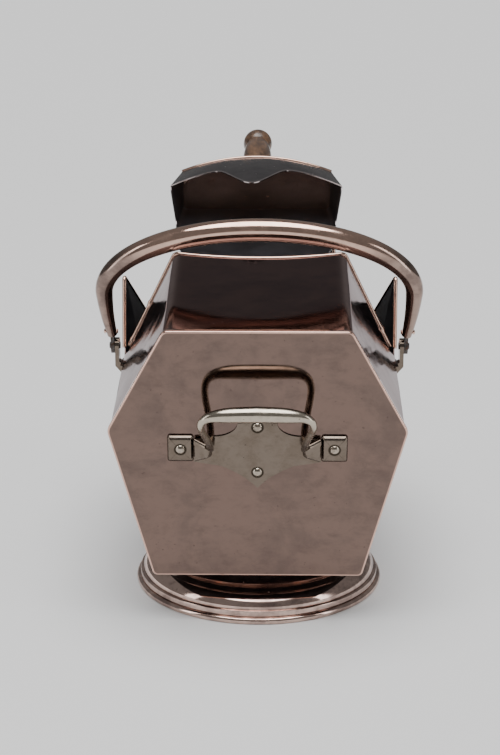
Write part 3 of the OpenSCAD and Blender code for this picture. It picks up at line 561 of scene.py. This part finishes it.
class SCUTTLE_OT_panel(bpy.types.Operator):
    """Build the flat six-sided back panel with its rolled edge"""
    bl_idname = "scuttle.panel"
    bl_label = "Back panel"

    def execute(self, context):
        sizes = context.scene.scuttle_sizes
        outline = resampled(rounded(hexagon(), 0.0045), 0.006, closed=True)
        roll, wall, low = sizes.edge, 0.0014, -PANEL_THICK - PANEL_FOLD
        arc = np.linspace(0, math.pi / 2, 7)
        rings = [(s, wall, -PANEL_THICK) for s in (0.0, 0.5, 1)]
        rings += [(1, wall, low), (1, 0.0002, low), (1, 0, low + 0.0003)]
        rings += [(1, roll * (1 - math.cos(a)), roll * (math.sin(a) - 1)) for a in arc]
        rings += [(s, roll, 0.0) for s in np.linspace(0.994, 0.0, 26)]
        points, quads = plate(outline, rings)
        points[:, 2] += ripple(points, sizes.dent * 0.35, 0.11) * (points[:, 2] > -0.0001)
        inside = (np.arange(len(quads)) < 3 * len(outline)).astype(int)
        # The rolled edge is painted lighter: a painted highlight along the panel's edge.
        worn = np.repeat([float(s == 1) for s, _, _ in rings], len(outline))
        make_piece("back_panel_sheet", on_panel(points), quads, [FINISHES["panel"], FINISHES["soot"]],
                   "scuttle", ["back_panel"], inside, worn=worn)
        return {"FINISHED"}


def shield_outline():
    """Right half of the shield: top edge, hollow flank, straight side and the swoop down to its point."""
    a = np.linspace(0, math.pi / 2, 12)
    f = np.linspace(0, 1, 16)
    flank = np.stack([0.018 + 0.022 * (1 - np.cos(a)), PAD_V + 0.025 - 0.013 * np.sin(a)], -1)
    drop = 0.018 + 0.023 * f ** 1.7 + 0.003 * np.sin(math.pi * f) * (1 - f)
    swoop = np.stack([0.034 * (1 - f), PAD_V - drop], -1)
    side = [[SHIELD_HALF, PAD_V + 0.008], [SHIELD_HALF, PAD_V - 0.014]]
    half = np.concatenate([[[0, PAD_V + 0.027]], flank, side, swoop])
    return np.concatenate([half, half[-2:0:-1] * [-1, 1]])[::-1]


def rounded_box_rings(height, bevel, low=0.0):
    """Rings of a plate with a bevelled front edge, the bevel's two corners softened."""
    soft = bevel * 0.3
    return [(0, 0, low), (1, 0, low), (1, 0, height - bevel - soft), (1, soft * 0.3, height - bevel),
            (1, bevel - soft * 0.3, height - soft), (1, bevel + soft, height), (0.5, bevel + soft, height),
            (0, bevel + soft, height)]


def web(side):
    """The web from a pad's inner edge up to the leg: rounded sections that narrow and rise as they go."""
    f = np.linspace(0, 1, 9)[:, None, None]
    middle = lerp(np.array([PAD_X - 0.0118, PAD_V - 0.001, 0.0030]),
                  np.array([PAD_X - 0.0275, PAD_V + 0.0025, 0.0105]), f)
    across = lerp(np.array([0, 0.0120, 0]), np.array([0.0010, 0.0058, -0.0010]), f)
    through_sheet = lerp(np.array([0.0014, 0, 0.0016]), np.array([0.0030, 0, 0.0044]), f)
    turn = np.linspace(0, 2 * math.pi, 28, endpoint=False)[None, :, None]
    c, s = np.cos(turn), np.sin(turn)
    squared = [np.sign(v) * np.abs(v) ** 0.55 for v in (c, s)]
    taper = np.where((f == 0) | (f == 1), 0.0, 1.0)
    rings = middle + taper * (squared[0] * across + squared[1] * through_sheet)
    rings[0], rings[-1] = middle[0], middle[-1]
    return rings.reshape(-1, 3) * [side, 1, 1], grid_faces(9, 28, wrap_cols=True)


class SCUTTLE_OT_handle(bpy.types.Operator):
    """Build the brass tipping handle and the shield plate behind it"""
    bl_idname = "scuttle.handle"
    bl_label = "Tipping handle"

    def execute(self, context):
        outline = resampled(shield_outline(), 0.003, closed=True)
        rings = [(0, 0, SKIN), (1, 0, SKIN), (1, 0, 0.0010), (1, 0.00012, 0.0013)]
        rings += [(s, 0.0005, SHIELD_THICK) for s in (1, 0.6, 0)]
        points, quads = plate(outline, rings)
        make_piece("handle_shield_plate", on_panel(points), quads, [FINISHES["brass"]], "scuttle",
                   ["handle_shield"])
        shares = np.array([[0, 0.5, 0.8, 0.95, 1, 0.98, 0.93, 0.88]]).T
        below = np.array([[0, 0.0005, 0.0025, 0.007, 0.014, 0.023, 0.032, 0.043]]).T
        behind = np.array([[0, -0.0005, 0, 0.0015, 0.005, 0.012, 0.020, 0.029]]).T
        knots = np.concatenate([np.hstack([BAR_HALF * shares, BAR_V - below, BAR_OFF - behind]),
                                [[PAD_X - 0.027, PAD_V + 0.002, 0.0065]]])
        widths = np.array([[0.5, 0.46, 0.34, 0.26, 0.23, 0.22, 0.22, 0.23, 0.24]]).T * BAR_DIAMETER
        path, radii = through(knots, 80), through(widths, 80)[:, 0]
        whole = np.concatenate([path[:0:-1] * [-1, 1, 1], path])
        bar = rod(whole, np.concatenate([radii[:0:-1], radii]), (0, 1, -1))
        square = rounded(PAD_HALF * [[-1, -1], [1, -1], [1, 1], [-1, 1]], 0.003, 5)
        parts = [bar]
        for side in (-1, 1):
            points, quads = plate(square, rounded_box_rings(PAD_THICK, 0.0022, SKIN))
            parts.append((points + [side * PAD_X, PAD_V, 0], quads))
            parts.append(web(side))
        points, quads = joined(parts)
        worn = smoothstep((points[:, 2] - 0.012) / 0.025)
        make_piece("tipping_handle_casting", on_panel(points), quads, [FINISHES["brass"]], "scuttle",
                   ["tipping_handle"], crease=50, worn=worn)
        return {"FINISHED"}


class SCUTTLE_OT_foot(bpy.types.Operator):
    """Build the spun foot: a hollow cove, a swelling, a round shoulder and the sunk edge over the bead"""
    bl_idname = "scuttle.foot"
    bl_label = "Spun foot"

    def execute(self, context):
        neck_r, cove_r, swell_r, rim_r = 0.080, 0.099, 0.106, 0.118
        neck_top, cove_low, ledge, round_r = 0.049, 0.0270, 0.0125, 0.012
        a = np.linspace(0, math.pi / 2, 24)
        cove = np.stack([neck_r + (cove_r - neck_r) * (1 - np.cos(a)),
                         neck_top - (neck_top - cove_low) * np.sin(a)], -1)
        ogee = through([[0.096, 0.0273], [cove_r, cove_low], [0.1030, 0.0254], [swell_r, ledge + round_r],
                        [0.109, 0.0242]], 33)[8:25]
        shoulder = np.stack([swell_r + round_r * np.sin(a), ledge + round_r * np.cos(a)], -1)
        edge = rounded([[rim_r, ledge], [0.1208, 0.012], [0.1214, 0.0071], [0.1206, 0.0066]], 0.0006, 5,
                       closed=False)
        outside = np.concatenate([cove, ogee[1:-1], shoulder, edge[1:]])
        inward = unit(np.gradient(outside, axis=0))[:, ::-1] * [1, -1]
        inside = outside + inward * 0.0012
        points, quads = turned(np.concatenate([outside, inside[::-1]]), sides=192)
        make_piece("spun_foot", points, quads, [FINISHES["foot"]], "scuttle", ["foot"])
        return {"FINISHED"}


# ---------------------------------------------------------------- the body's corner lines, right-hand side
def inner_y(z):
    """How far forward the panel's inner face is at a height."""
    return PANEL_FOOT[1] + PANEL_THICK / math.cos(PANEL_LEAN) - (z - PANEL_FOOT[2]) * math.tan(PANEL_LEAN)


FLOOR_Z, WAIST_Z, TOP_Z = 0.053, 0.20013, 0.29297
APRON_SLOPE, BEND_Y, BEND_R = math.radians(73), 0.080, 0.100
SHOULDER_HALF, SHOULDER_Z, LIP_HALF, LIP_Z = 0.112, 0.201, 0.080, 0.3345
BEND_END_Z = FLOOR_Z + BEND_R * (1 - math.cos(APRON_SLOPE))
BEND_END_Y = BEND_Y + BEND_R * math.sin(APRON_SLOPE)
WING_FOOT = np.array([0.13815, 0.046, 0.220])
PEAK = np.array([0.14054, 0.085, 0.294])
HOOD_CORNER = np.array([0.086, 0.060, 0.324])
BACK_FLOOR = np.array([BODY_HALVES[0], inner_y(FLOOR_Z), FLOOR_Z])
BACK_WAIST = np.array([BODY_HALVES[1], inner_y(WAIST_Z), WAIST_Z])
BACK_TOP = np.array([BODY_HALVES[2], inner_y(TOP_Z), TOP_Z])
HOOD_HOLLOW = 0.015


def apron_y(z):
    """How far forward the apron is at a height: a quarter bend, then a straight slope."""
    bend = BEND_Y + np.sqrt(np.maximum(0, BEND_R ** 2 - (BEND_R - (z - FLOOR_Z)) ** 2))
    return np.where(z > BEND_END_Z, BEND_END_Y + (z - BEND_END_Z) / math.tan(APRON_SLOPE), bend)


def apron_half(z):
    """Half-width of the apron: it widens to its shoulders, then draws in to the lip in a hollow curve."""
    lower = lerp(BODY_HALVES[0], SHOULDER_HALF, (z - FLOOR_Z) / (SHOULDER_Z - FLOOR_Z))
    rest = np.clip((LIP_Z - z) / (LIP_Z - SHOULDER_Z), 0, 1)
    return np.where(z < SHOULDER_Z, lower, LIP_HALF + (SHOULDER_HALF - LIP_HALF) * rest ** 2.2)


def apron_edge(z):
    """Right-hand edge of the apron at each height."""
    return np.stack([apron_half(z), apron_y(z), z], -1)


def lower_heights(count):
    """Heights up the apron's lower part: even steps round the bend, then even steps to the shoulders."""
    bend = FLOOR_Z + BEND_R * (1 - np.cos(np.linspace(0, APRON_SLOPE, count)))
    return np.concatenate([bend, np.linspace(BEND_END_Z, SHOULDER_Z - 0.007, count // 3)[1:]])


SHOULDER = np.array([SHOULDER_HALF, float(apron_y(SHOULDER_Z)), SHOULDER_Z])
NOTCH_AT = 0.48                             # how far from the peak to the shoulder the wing's edge bends
NOTCH = lerp(PEAK, SHOULDER, NOTCH_AT) + [0, 0, 0.001]


def mouth_line():
    """Wired edge of the mouth: up the wing, down to the shoulder, up the apron and across the lip."""
    heights = np.linspace(SHOULDER_Z, LIP_Z, 28)[1:]
    half = np.concatenate([[lerp(WING_FOOT, PEAK, 0.1), PEAK, NOTCH, SHOULDER], apron_edge(heights)])
    corners = rounded(half[:4], 0.0035, 6, closed=False)
    lip = rounded(np.array([half[-2], half[-1], half[-1] * [0, 1, 1]]), 0.0035, 6, closed=False)
    return both_ways(resampled(np.concatenate([corners, half[4:-2], lip[:-1]]), 0.004))


def facet_z(y):
    """Height of the hood's top facet at a distance forward."""
    return lerp(TOP_Z, HOOD_CORNER[2], (y - BACK_TOP[1]) / (HOOD_CORNER[1] - BACK_TOP[1]))


def hood_front(count):
    """Hollow front edge of the hood's top, from the left corner to the right one."""
    f = np.linspace(-1, 1, count)
    y = HOOD_CORNER[1] - HOOD_HOLLOW * (1 - f * f)
    return np.stack([HOOD_CORNER[0] * f, y, facet_z(y)], -1)


def hood_grid(rows=60):
    """The hood: folded sections from the back panel to the mouth, their folds rounded, the front hollowed.

    Returns the grid and a painted highlight along the folds: 1 on the folds, fading within a few
    millimetres.
    """
    f = np.linspace(0, 1, rows)[:, None]
    side, top = lerp(BACK_WAIST, WING_FOOT, f), lerp(BACK_TOP, HOOD_CORNER, f)
    flip = np.array([-1, 1, 1])
    fold = bpy.context.scene.scuttle_sizes.fold
    start, end = top + fold * unit(side - top), top + fold * unit(top * flip - top)
    u = np.linspace(0, 1, 22)[None, :, None]
    g = np.linspace(0, 1, 9)[None, :, None]
    w = np.linspace(0, 1, 48)[None, 1:-1, None]
    flank = lerp(side[:, None], start[:, None], u[:, :-1])
    bend = (1 - g) ** 2 * start[:, None] + 2 * g * (1 - g) * top[:, None] + g ** 2 * end[:, None]
    roof = lerp(end[:, None], (end * flip)[:, None], w)
    grid = np.concatenate([flank, bend, roof, bend[:, ::-1] * flip, flank[:, ::-1] * flip], 1)
    across = np.clip(grid[..., 0] / top[:, None, 0], -1, 1)
    pull = HOOD_HOLLOW * (1 - across ** 2) * f ** 2
    pull = np.where(np.abs(grid[..., 0]) < top[:, None, 0], pull, 0)
    slope = (HOOD_CORNER[2] - TOP_Z) / (HOOD_CORNER[1] - BACK_TOP[1])
    away = np.linalg.norm(np.abs(grid) * [1, 0, 1] - top[:, None] * [1, 0, 1], axis=-1)
    grid[..., 1] -= pull
    grid[..., 2] -= pull * slope
    return grid, np.exp(-(away / 0.0045) ** 2)


def side_grid(rows=26):
    """The right-hand side sheet: straight lines from its foot along the floor to its upper edge."""
    heights = lower_heights(28)
    floor_edge = BACK_FLOOR * [1, 0, 1]
    floor_ys = (WING_FOOT[1], lerp(WING_FOOT[1], BEND_Y, 0.5))
    feet = np.concatenate([[BACK_FLOOR, *(floor_edge + [0, y, 0] for y in floor_ys)], apron_edge(heights)])
    f = np.concatenate([np.linspace(0, 0.8, 28), np.linspace(0.8, 1, 9)[1:]])[:, None]
    upper = np.where(f < NOTCH_AT, lerp(PEAK, NOTCH, f / NOTCH_AT),
                     lerp(NOTCH, SHOULDER, (f - NOTCH_AT) / (1 - NOTCH_AT)))
    tops = np.concatenate([[BACK_WAIST, WING_FOOT, lerp(WING_FOOT, PEAK, 0.5)], upper])
    marks = np.arange(len(feet))
    fine = np.concatenate([np.linspace(0, 1, 30, endpoint=False), np.linspace(1, 3, 16, endpoint=False),
                           marks[3:]])
    feet, tops = (np.stack([np.interp(fine, marks, line[:, k]) for k in range(3)], -1)
                  for line in (feet, tops))
    return lerp(feet[None], tops[None], np.linspace(0, 1, rows)[:, None, None])


class SCUTTLE_OT_body(bpy.types.Operator):
    """Build the hood, the two sides and the front apron"""
    bl_idname = "scuttle.body"
    bl_label = "Body sheets"

    def execute(self, context):
        sizes = context.scene.scuttle_sizes
        skins = [FINISHES["hood"], FINISHES["soot"]]
        # The lighter colour along the hood's folds is a painted highlight.
        grid, worn = hood_grid()
        points, quads, inside = shell(grid, -sizes.sheet, -sizes.dent * 1.2, 0.09)
        make_piece("hood_sheet", points, quads, skins, "scuttle", ["hood"], inside,
                   worn=np.tile(worn.ravel(), 2))
        for name, way in (("right", 1), ("left", -1)):
            grid = side_grid() * [way, 1, 1]
            points, quads, inside = shell(grid, way * sizes.sheet, way * sizes.dent, 0.08)
            make_piece(f"{name}_side_sheet", points, quads, skins, "scuttle", [f"{name}_side"],
                       inside)
        heights = np.concatenate([lower_heights(28), np.linspace(SHOULDER_Z, LIP_Z, 30)])
        edge = apron_edge(heights)
        across = np.linspace(-1, 1, 48)[None, :, None]
        grid = edge[:, None] * [0, 1, 1] + across * edge[:, None] * [1, 0, 0]
        points, quads, inside = shell(grid, -sizes.sheet, -sizes.dent, 0.09)
        make_piece("front_apron_sheet", points, quads, skins, "scuttle", ["front_apron"], inside)
        return {"FINISHED"}


class SCUTTLE_OT_wires(bpy.types.Operator):
    """Build the wired edges of the hood and the mouth, with blobs of solder on the hood's wire"""
    bl_idname = "scuttle.wires"
    bl_label = "Wired edges"

    def execute(self, context):
        radius = context.scene.scuttle_sizes.wire
        side = lerp(HOOD_CORNER, WING_FOOT, 0.9)
        flip = [-1, 1, 1]
        front = hood_front(25)
        corners = rounded(np.array([side, HOOD_CORNER, front[-2]]), 0.004, 6, closed=False)[:-1]
        path = np.concatenate([corners * flip, front[2:-2], corners[::-1]])
        path = resampled(path, 0.0025) - [0, 0, 0.0006]          # the middle of the hood's sheet
        solder = np.zeros(len(path))
        for x, z in ((-0.131, 0.236), (-0.112, 0.274), (0.124, 0.248)):
            away = np.linalg.norm(path[:, [0, 2]] - [x, z], axis=1)
            solder += 0.0011 * np.exp(-(away / 0.0022) ** 2)
        points, quads = rod(path, radius + solder, (0, 1, 0), sides=20)
        make_piece("hood_wire", points, quads, [FINISHES["copper"]], "scuttle", ["hood_rim_wire"])
        path = mouth_line()
        points, quads = rod(path, radius, (0.556, 0.812, 0.175), sides=20)
        make_piece("mouth_wire", points, quads, [FINISHES["copper"]], "scuttle", ["mouth_rim_wire"])
        return {"FINISHED"}


class SCUTTLE_OT_bail(bpy.types.Operator):
    """Build the swing bail: a hollow tube that swells from its ends to its grip"""
    bl_idname = "scuttle.bail"
    bl_label = "Bail"

    def execute(self, context):
        half, reach, widest, start, draw = 0.15204, 0.141, 0.06627, 0.014, 0.00450
        h = np.linspace(start, widest, 24, endpoint=False)
        rise = (widest - h) / (widest - start)
        leg = np.stack([half - draw * rise ** 2, 0 * h, h], -1)
        a = np.linspace(0, math.pi / 2, 72)
        bow = np.stack([half * np.cos(a), 0 * a, widest + (reach - widest) * np.sin(a)], -1)
        path = both_ways(np.concatenate([leg, bow])[:-1])
        end_r, bow_r, grip_r, bore_r, bore_depth = 0.0050, 0.0084, 0.0110, 0.0041, 0.009
        radii = np.concatenate([lerp(bow_r, end_r, rise), lerp(bow_r, grip_r, np.sin(a))])[:-1]
        radii = np.concatenate([radii, radii[::-1]])
        ends = ((0.0, 0.0046), (0.0, bore_r), (bore_depth, bore_r), (bore_depth, 0))
        points, quads = rod(path, radii, (0, 1, 0), sides=40, ends=ends)
        worn = smoothstep((points[:, 2] - 0.105) / 0.033)
        make_piece("bail_pipe", tilted(points, BAIL_LEAN, PIVOT), quads, [FINISHES["bail"]], "bail",
                   ["bail_tube"], worn=worn)
        return {"FINISHED"}


def pan_grid(rows=70):
    """The scoop's pan: a flat floor, rounded corners and walls that flare, then drop towards the tip."""
    s = np.linspace(0, SCOOP_LENGTH * 0.975, rows)[:, None]
    near = np.minimum(1, s / HORN_LENGTH)
    half = (SCOOP_HALF + 0.002 * near) * (1 - (s / SCOOP_LENGTH) ** 4.5) ** 0.5
    low = 0.0012
    wall = low + (SCOOP_WALL - low) * (1 - 0.86 * smoothstep((s - HORN_LENGTH) / 0.026)
                                       - 0.14 * smoothstep((s - HORN_LENGTH - 0.020) / 0.060))
    flare = (HORN_HALF - SCOOP_HALF - 0.002) * near * wall / SCOOP_WALL
    corner = np.minimum(0.007, wall * 0.9)
    g = np.linspace(0, 1, 9)[None, :]
    w = np.linspace(0, 1, 22)[None, :]
    bend_x = ((1 - g) ** 2 * (half - corner) + 2 * g * (1 - g) * half
              + g ** 2 * (half + flare * corner / wall))
    bend_z = g ** 2 * corner
    up = np.linspace(0, 1, 10)[None, 1:]
    wall_x = half + flare * lerp(corner / wall, 1, up)
    wall_z = lerp(corner, np.maximum(wall, corner), up)
    x = np.concatenate([(half - corner) * w, bend_x[:, 1:], wall_x], 1)
    z = np.concatenate([0 * w * half, bend_z[:, 1:], wall_z], 1)
    x, z = np.concatenate([-x[:, :0:-1], x], 1), np.concatenate([z[:, :0:-1], z], 1)
    return np.stack([x, np.broadcast_to(-s, x.shape), z], -1)


def arch_height(f):
    """Height of the back plate's arched top, f from -1 at its left end to 1 at its right."""
    return SCOOP_WALL + SCOOP_ARCH * (1 - f * f)


def cover_grid(rows=16, cols=90):
    """The scoop's arched cover, from the bead to its scalloped front edge, and a painted highlight along
    that edge.
    """
    f = np.linspace(-1, 1, cols)[None]
    a = np.abs(f)
    reach = (SCALLOP_LENGTH
             + (TONGUE_LENGTH - SCALLOP_LENGTH) * (1 - smoothstep(np.abs(f + TONGUE_SHIFT) / 0.46))
             + (HORN_LENGTH - SCALLOP_LENGTH) * np.maximum(0, (a - 0.5) / 0.5) ** 1.6)
    g = 1 - (1 - np.linspace(0, 1, rows)[:, None]) ** 2
    s = lerp(-SCOOP_SHEET, reach, g)
    half = lerp(SCOOP_HALF, HORN_HALF - 0.0005, np.clip(s / HORN_LENGTH, 0, 1))
    z = arch_height(f) + SCOOP_SHEET + 2 * SKIN - 0.003 * g * g * (1 - a)
    return np.stack([half * f, -s, z], -1), np.exp(-((reach - s) / 0.0028) ** 2)


class SCUTTLE_OT_scoop(bpy.types.Operator):
    """Build the scoop's pan, its scalloped cover and the bead over its back plate"""
    bl_idname = "scuttle.scoop"
    bl_label = "Scoop"

    def execute(self, context):
        skins = [FINISHES["scoop"], FINISHES["soot"]]
        points, quads, inside = shell(pan_grid(), SCOOP_SHEET)
        make_piece("scoop_pan_sheet", on_scoop(points), quads, skins, "scoop", ["scoop_pan"],
                   inside)
        # The cover's scalloped front edge carries a painted highlight.
        grid, worn = cover_grid()
        points, quads, inside = shell(grid, -SCOOP_SHEET, -0.0002, 0.05)
        make_piece("scoop_cover_sheet", on_scoop(points), quads, skins, "scoop", ["scoop_cover"],
                   inside, worn=np.tile(worn.ravel(), 2))
        bead_r = 0.0017
        f = np.linspace(-1, 1, 60)
        behind = SCOOP_SHEET + bead_r + 3 * SKIN
        path = np.stack([SCOOP_HALF * f, 0 * f + behind, arch_height(f) + 0.0009], -1)
        points, quads = rod(path, bead_r, (0, 1, 0), sides=16)
        make_piece("scoop_edge_bead", on_scoop(points), quads, [FINISHES["copper"]], "scoop",
                   ["scoop_bead"])
        return {"FINISHED"}


class SCUTTLE_OT_grip(bpy.types.Operator):
    """Build the scoop's turned wooden handle with its ball end"""
    bl_idname = "scuttle.grip"
    bl_label = "Scoop handle"

    def execute(self, context):
        base, spigot, socket, ball_at, ball = 0.0373, 0.0100, 0.0120, 0.127, 0.017
        f = np.linspace(0, 1, 28)
        neck = np.stack([lerp(socket, 0.8 * ball, f) + 0.0036 * np.sin(math.pi * f),
                         lerp(base + 0.0055, ball_at - ball * 0.62, f)], -1)
        a = np.radians(np.linspace(-40, 90, 30))
        knob = np.stack([np.maximum(0, ball * np.cos(a)), ball_at + ball * np.sin(a)], -1)
        collar = rounded([[spigot, base], [socket + 0.0024, base], [socket + 0.0024, base + 0.0055],
                          [socket, base + 0.0055]], 0.0012, 5, closed=False)
        profile = np.concatenate([[[0, 0.005], [spigot, 0.005]], collar, neck[1:], knob])
        points, quads = turned(profile, sides=96, closed=False)
        socket_height = 0.027
        points = tilted(points, HANDLE_RISE - math.pi / 2, (0, SCOOP_SHEET + 2 * SKIN, socket_height))
        make_piece("turned_handle", on_scoop(points), quads, [FINISHES["wood"]], "scoop", ["scoop_handle"])
        return {"FINISHED"}


class SCUTTLE_OT_stage(bpy.types.Operator):
    """Set up the pale floor, the soft studio light and the camera"""
    bl_idname = "scuttle.stage"
    bl_label = "Studio"

    def execute(self, context):
        scene = context.scene
        light = scene.scuttle_stage
        reach = 40.0
        mesh = bpy.data.meshes.new("floor")
        corners = [(reach * x, reach * y, 0) for x, y in ((-1, -1), (1, -1), (1, 1), (-1, 1))]
        mesh.from_pydata(corners, [], [(0, 1, 2, 3)])
        floor = bpy.data.objects.new("floor", mesh)
        paper = Finish("pale_paper", {"Specular IOR Level": 0.1, "Roughness": 0.9})
        paper.feed("Base Color", (0.86, 0.86, 0.86, 1))
        mesh.materials.append(paper.material)
        bpy.context.collection.objects.link(floor)
        sun = bpy.data.lights.new("overhead", "SUN")
        sun.energy = light.overhead
        sun.angle = math.radians(50)
        above = bpy.data.objects.new("overhead", sun)
        above.rotation_euler = (math.radians(12), 0, 0)
        bpy.context.collection.objects.link(above)
        for side in (-1, 1):
            lamp = bpy.data.lights.new("side", "AREA")
            lamp.energy = light.sides
            lamp.shape, lamp.size, lamp.size_y = "RECTANGLE", 0.35, 1.4
            tall = bpy.data.objects.new("side", lamp)
            tall.location = (side * 1.5, -0.7, 0.8)
            tall.rotation_euler = (math.radians(90), 0, side * math.radians(65))
            bpy.context.collection.objects.link(tall)
        scene.world = bpy.data.worlds.new("room")
        scene.world.use_nodes = True
        scene.world.node_tree.nodes["Background"].inputs["Color"].default_value = (light.room,) * 3 + (1,)
        view = bpy.data.cameras.new("view")
        view.lens, view.sensor_width = 69.24, 36.0
        camera = bpy.data.objects.new("view", view)
        camera.location = (0.012, -1.392, 0.595)
        camera.rotation_euler = (math.radians(74.53), 0, math.radians(0.86))
        bpy.context.collection.objects.link(camera)
        scene.camera = camera
        return {"FINISHED"}


class SCUTTLE_PT_panel(bpy.types.Panel):
    """Lists the scuttle's operators and settings"""
    bl_label = "Copper Coal Scuttle"
    bl_space_type = "VIEW_3D"
    bl_region_type = "UI"
    bl_category = "Scuttle"

    def draw(self, context):
        layout = self.layout
        for operator in OPERATORS:
            layout.operator(operator.bl_idname)
        for group in ("scuttle_colours", "scuttle_sizes", "scuttle_stage"):
            settings = getattr(context.scene, group)
            for name in settings.__annotations__:
                layout.prop(settings, name)


OPERATORS = (SCUTTLE_OT_finishes, SCUTTLE_OT_stage, SCUTTLE_OT_panel, SCUTTLE_OT_handle, SCUTTLE_OT_foot,
             SCUTTLE_OT_body, SCUTTLE_OT_wires, SCUTTLE_OT_bail, SCUTTLE_OT_scoop, SCUTTLE_OT_grip)
GROUPS = {"scuttle_colours": ScuttleColours, "scuttle_sizes": ScuttleSizes, "scuttle_stage": ScuttleStage}


def register():
    for cls in (*GROUPS.values(), *OPERATORS, SCUTTLE_PT_panel):
        bpy.utils.register_class(cls)
    for name, group in GROUPS.items():
        setattr(bpy.types.Scene, name, PointerProperty(type=group))


def unregister():
    for name in GROUPS:
        delattr(bpy.types.Scene, name)
    for cls in reversed((*GROUPS.values(), *OPERATORS, SCUTTLE_PT_panel)):
        bpy.utils.unregister_class(cls)


def main():
    register()
    for operator in OPERATORS:
        getattr(bpy.ops.scuttle, operator.bl_idname.split(".")[1])()


if __name__ == "__main__":
    main()
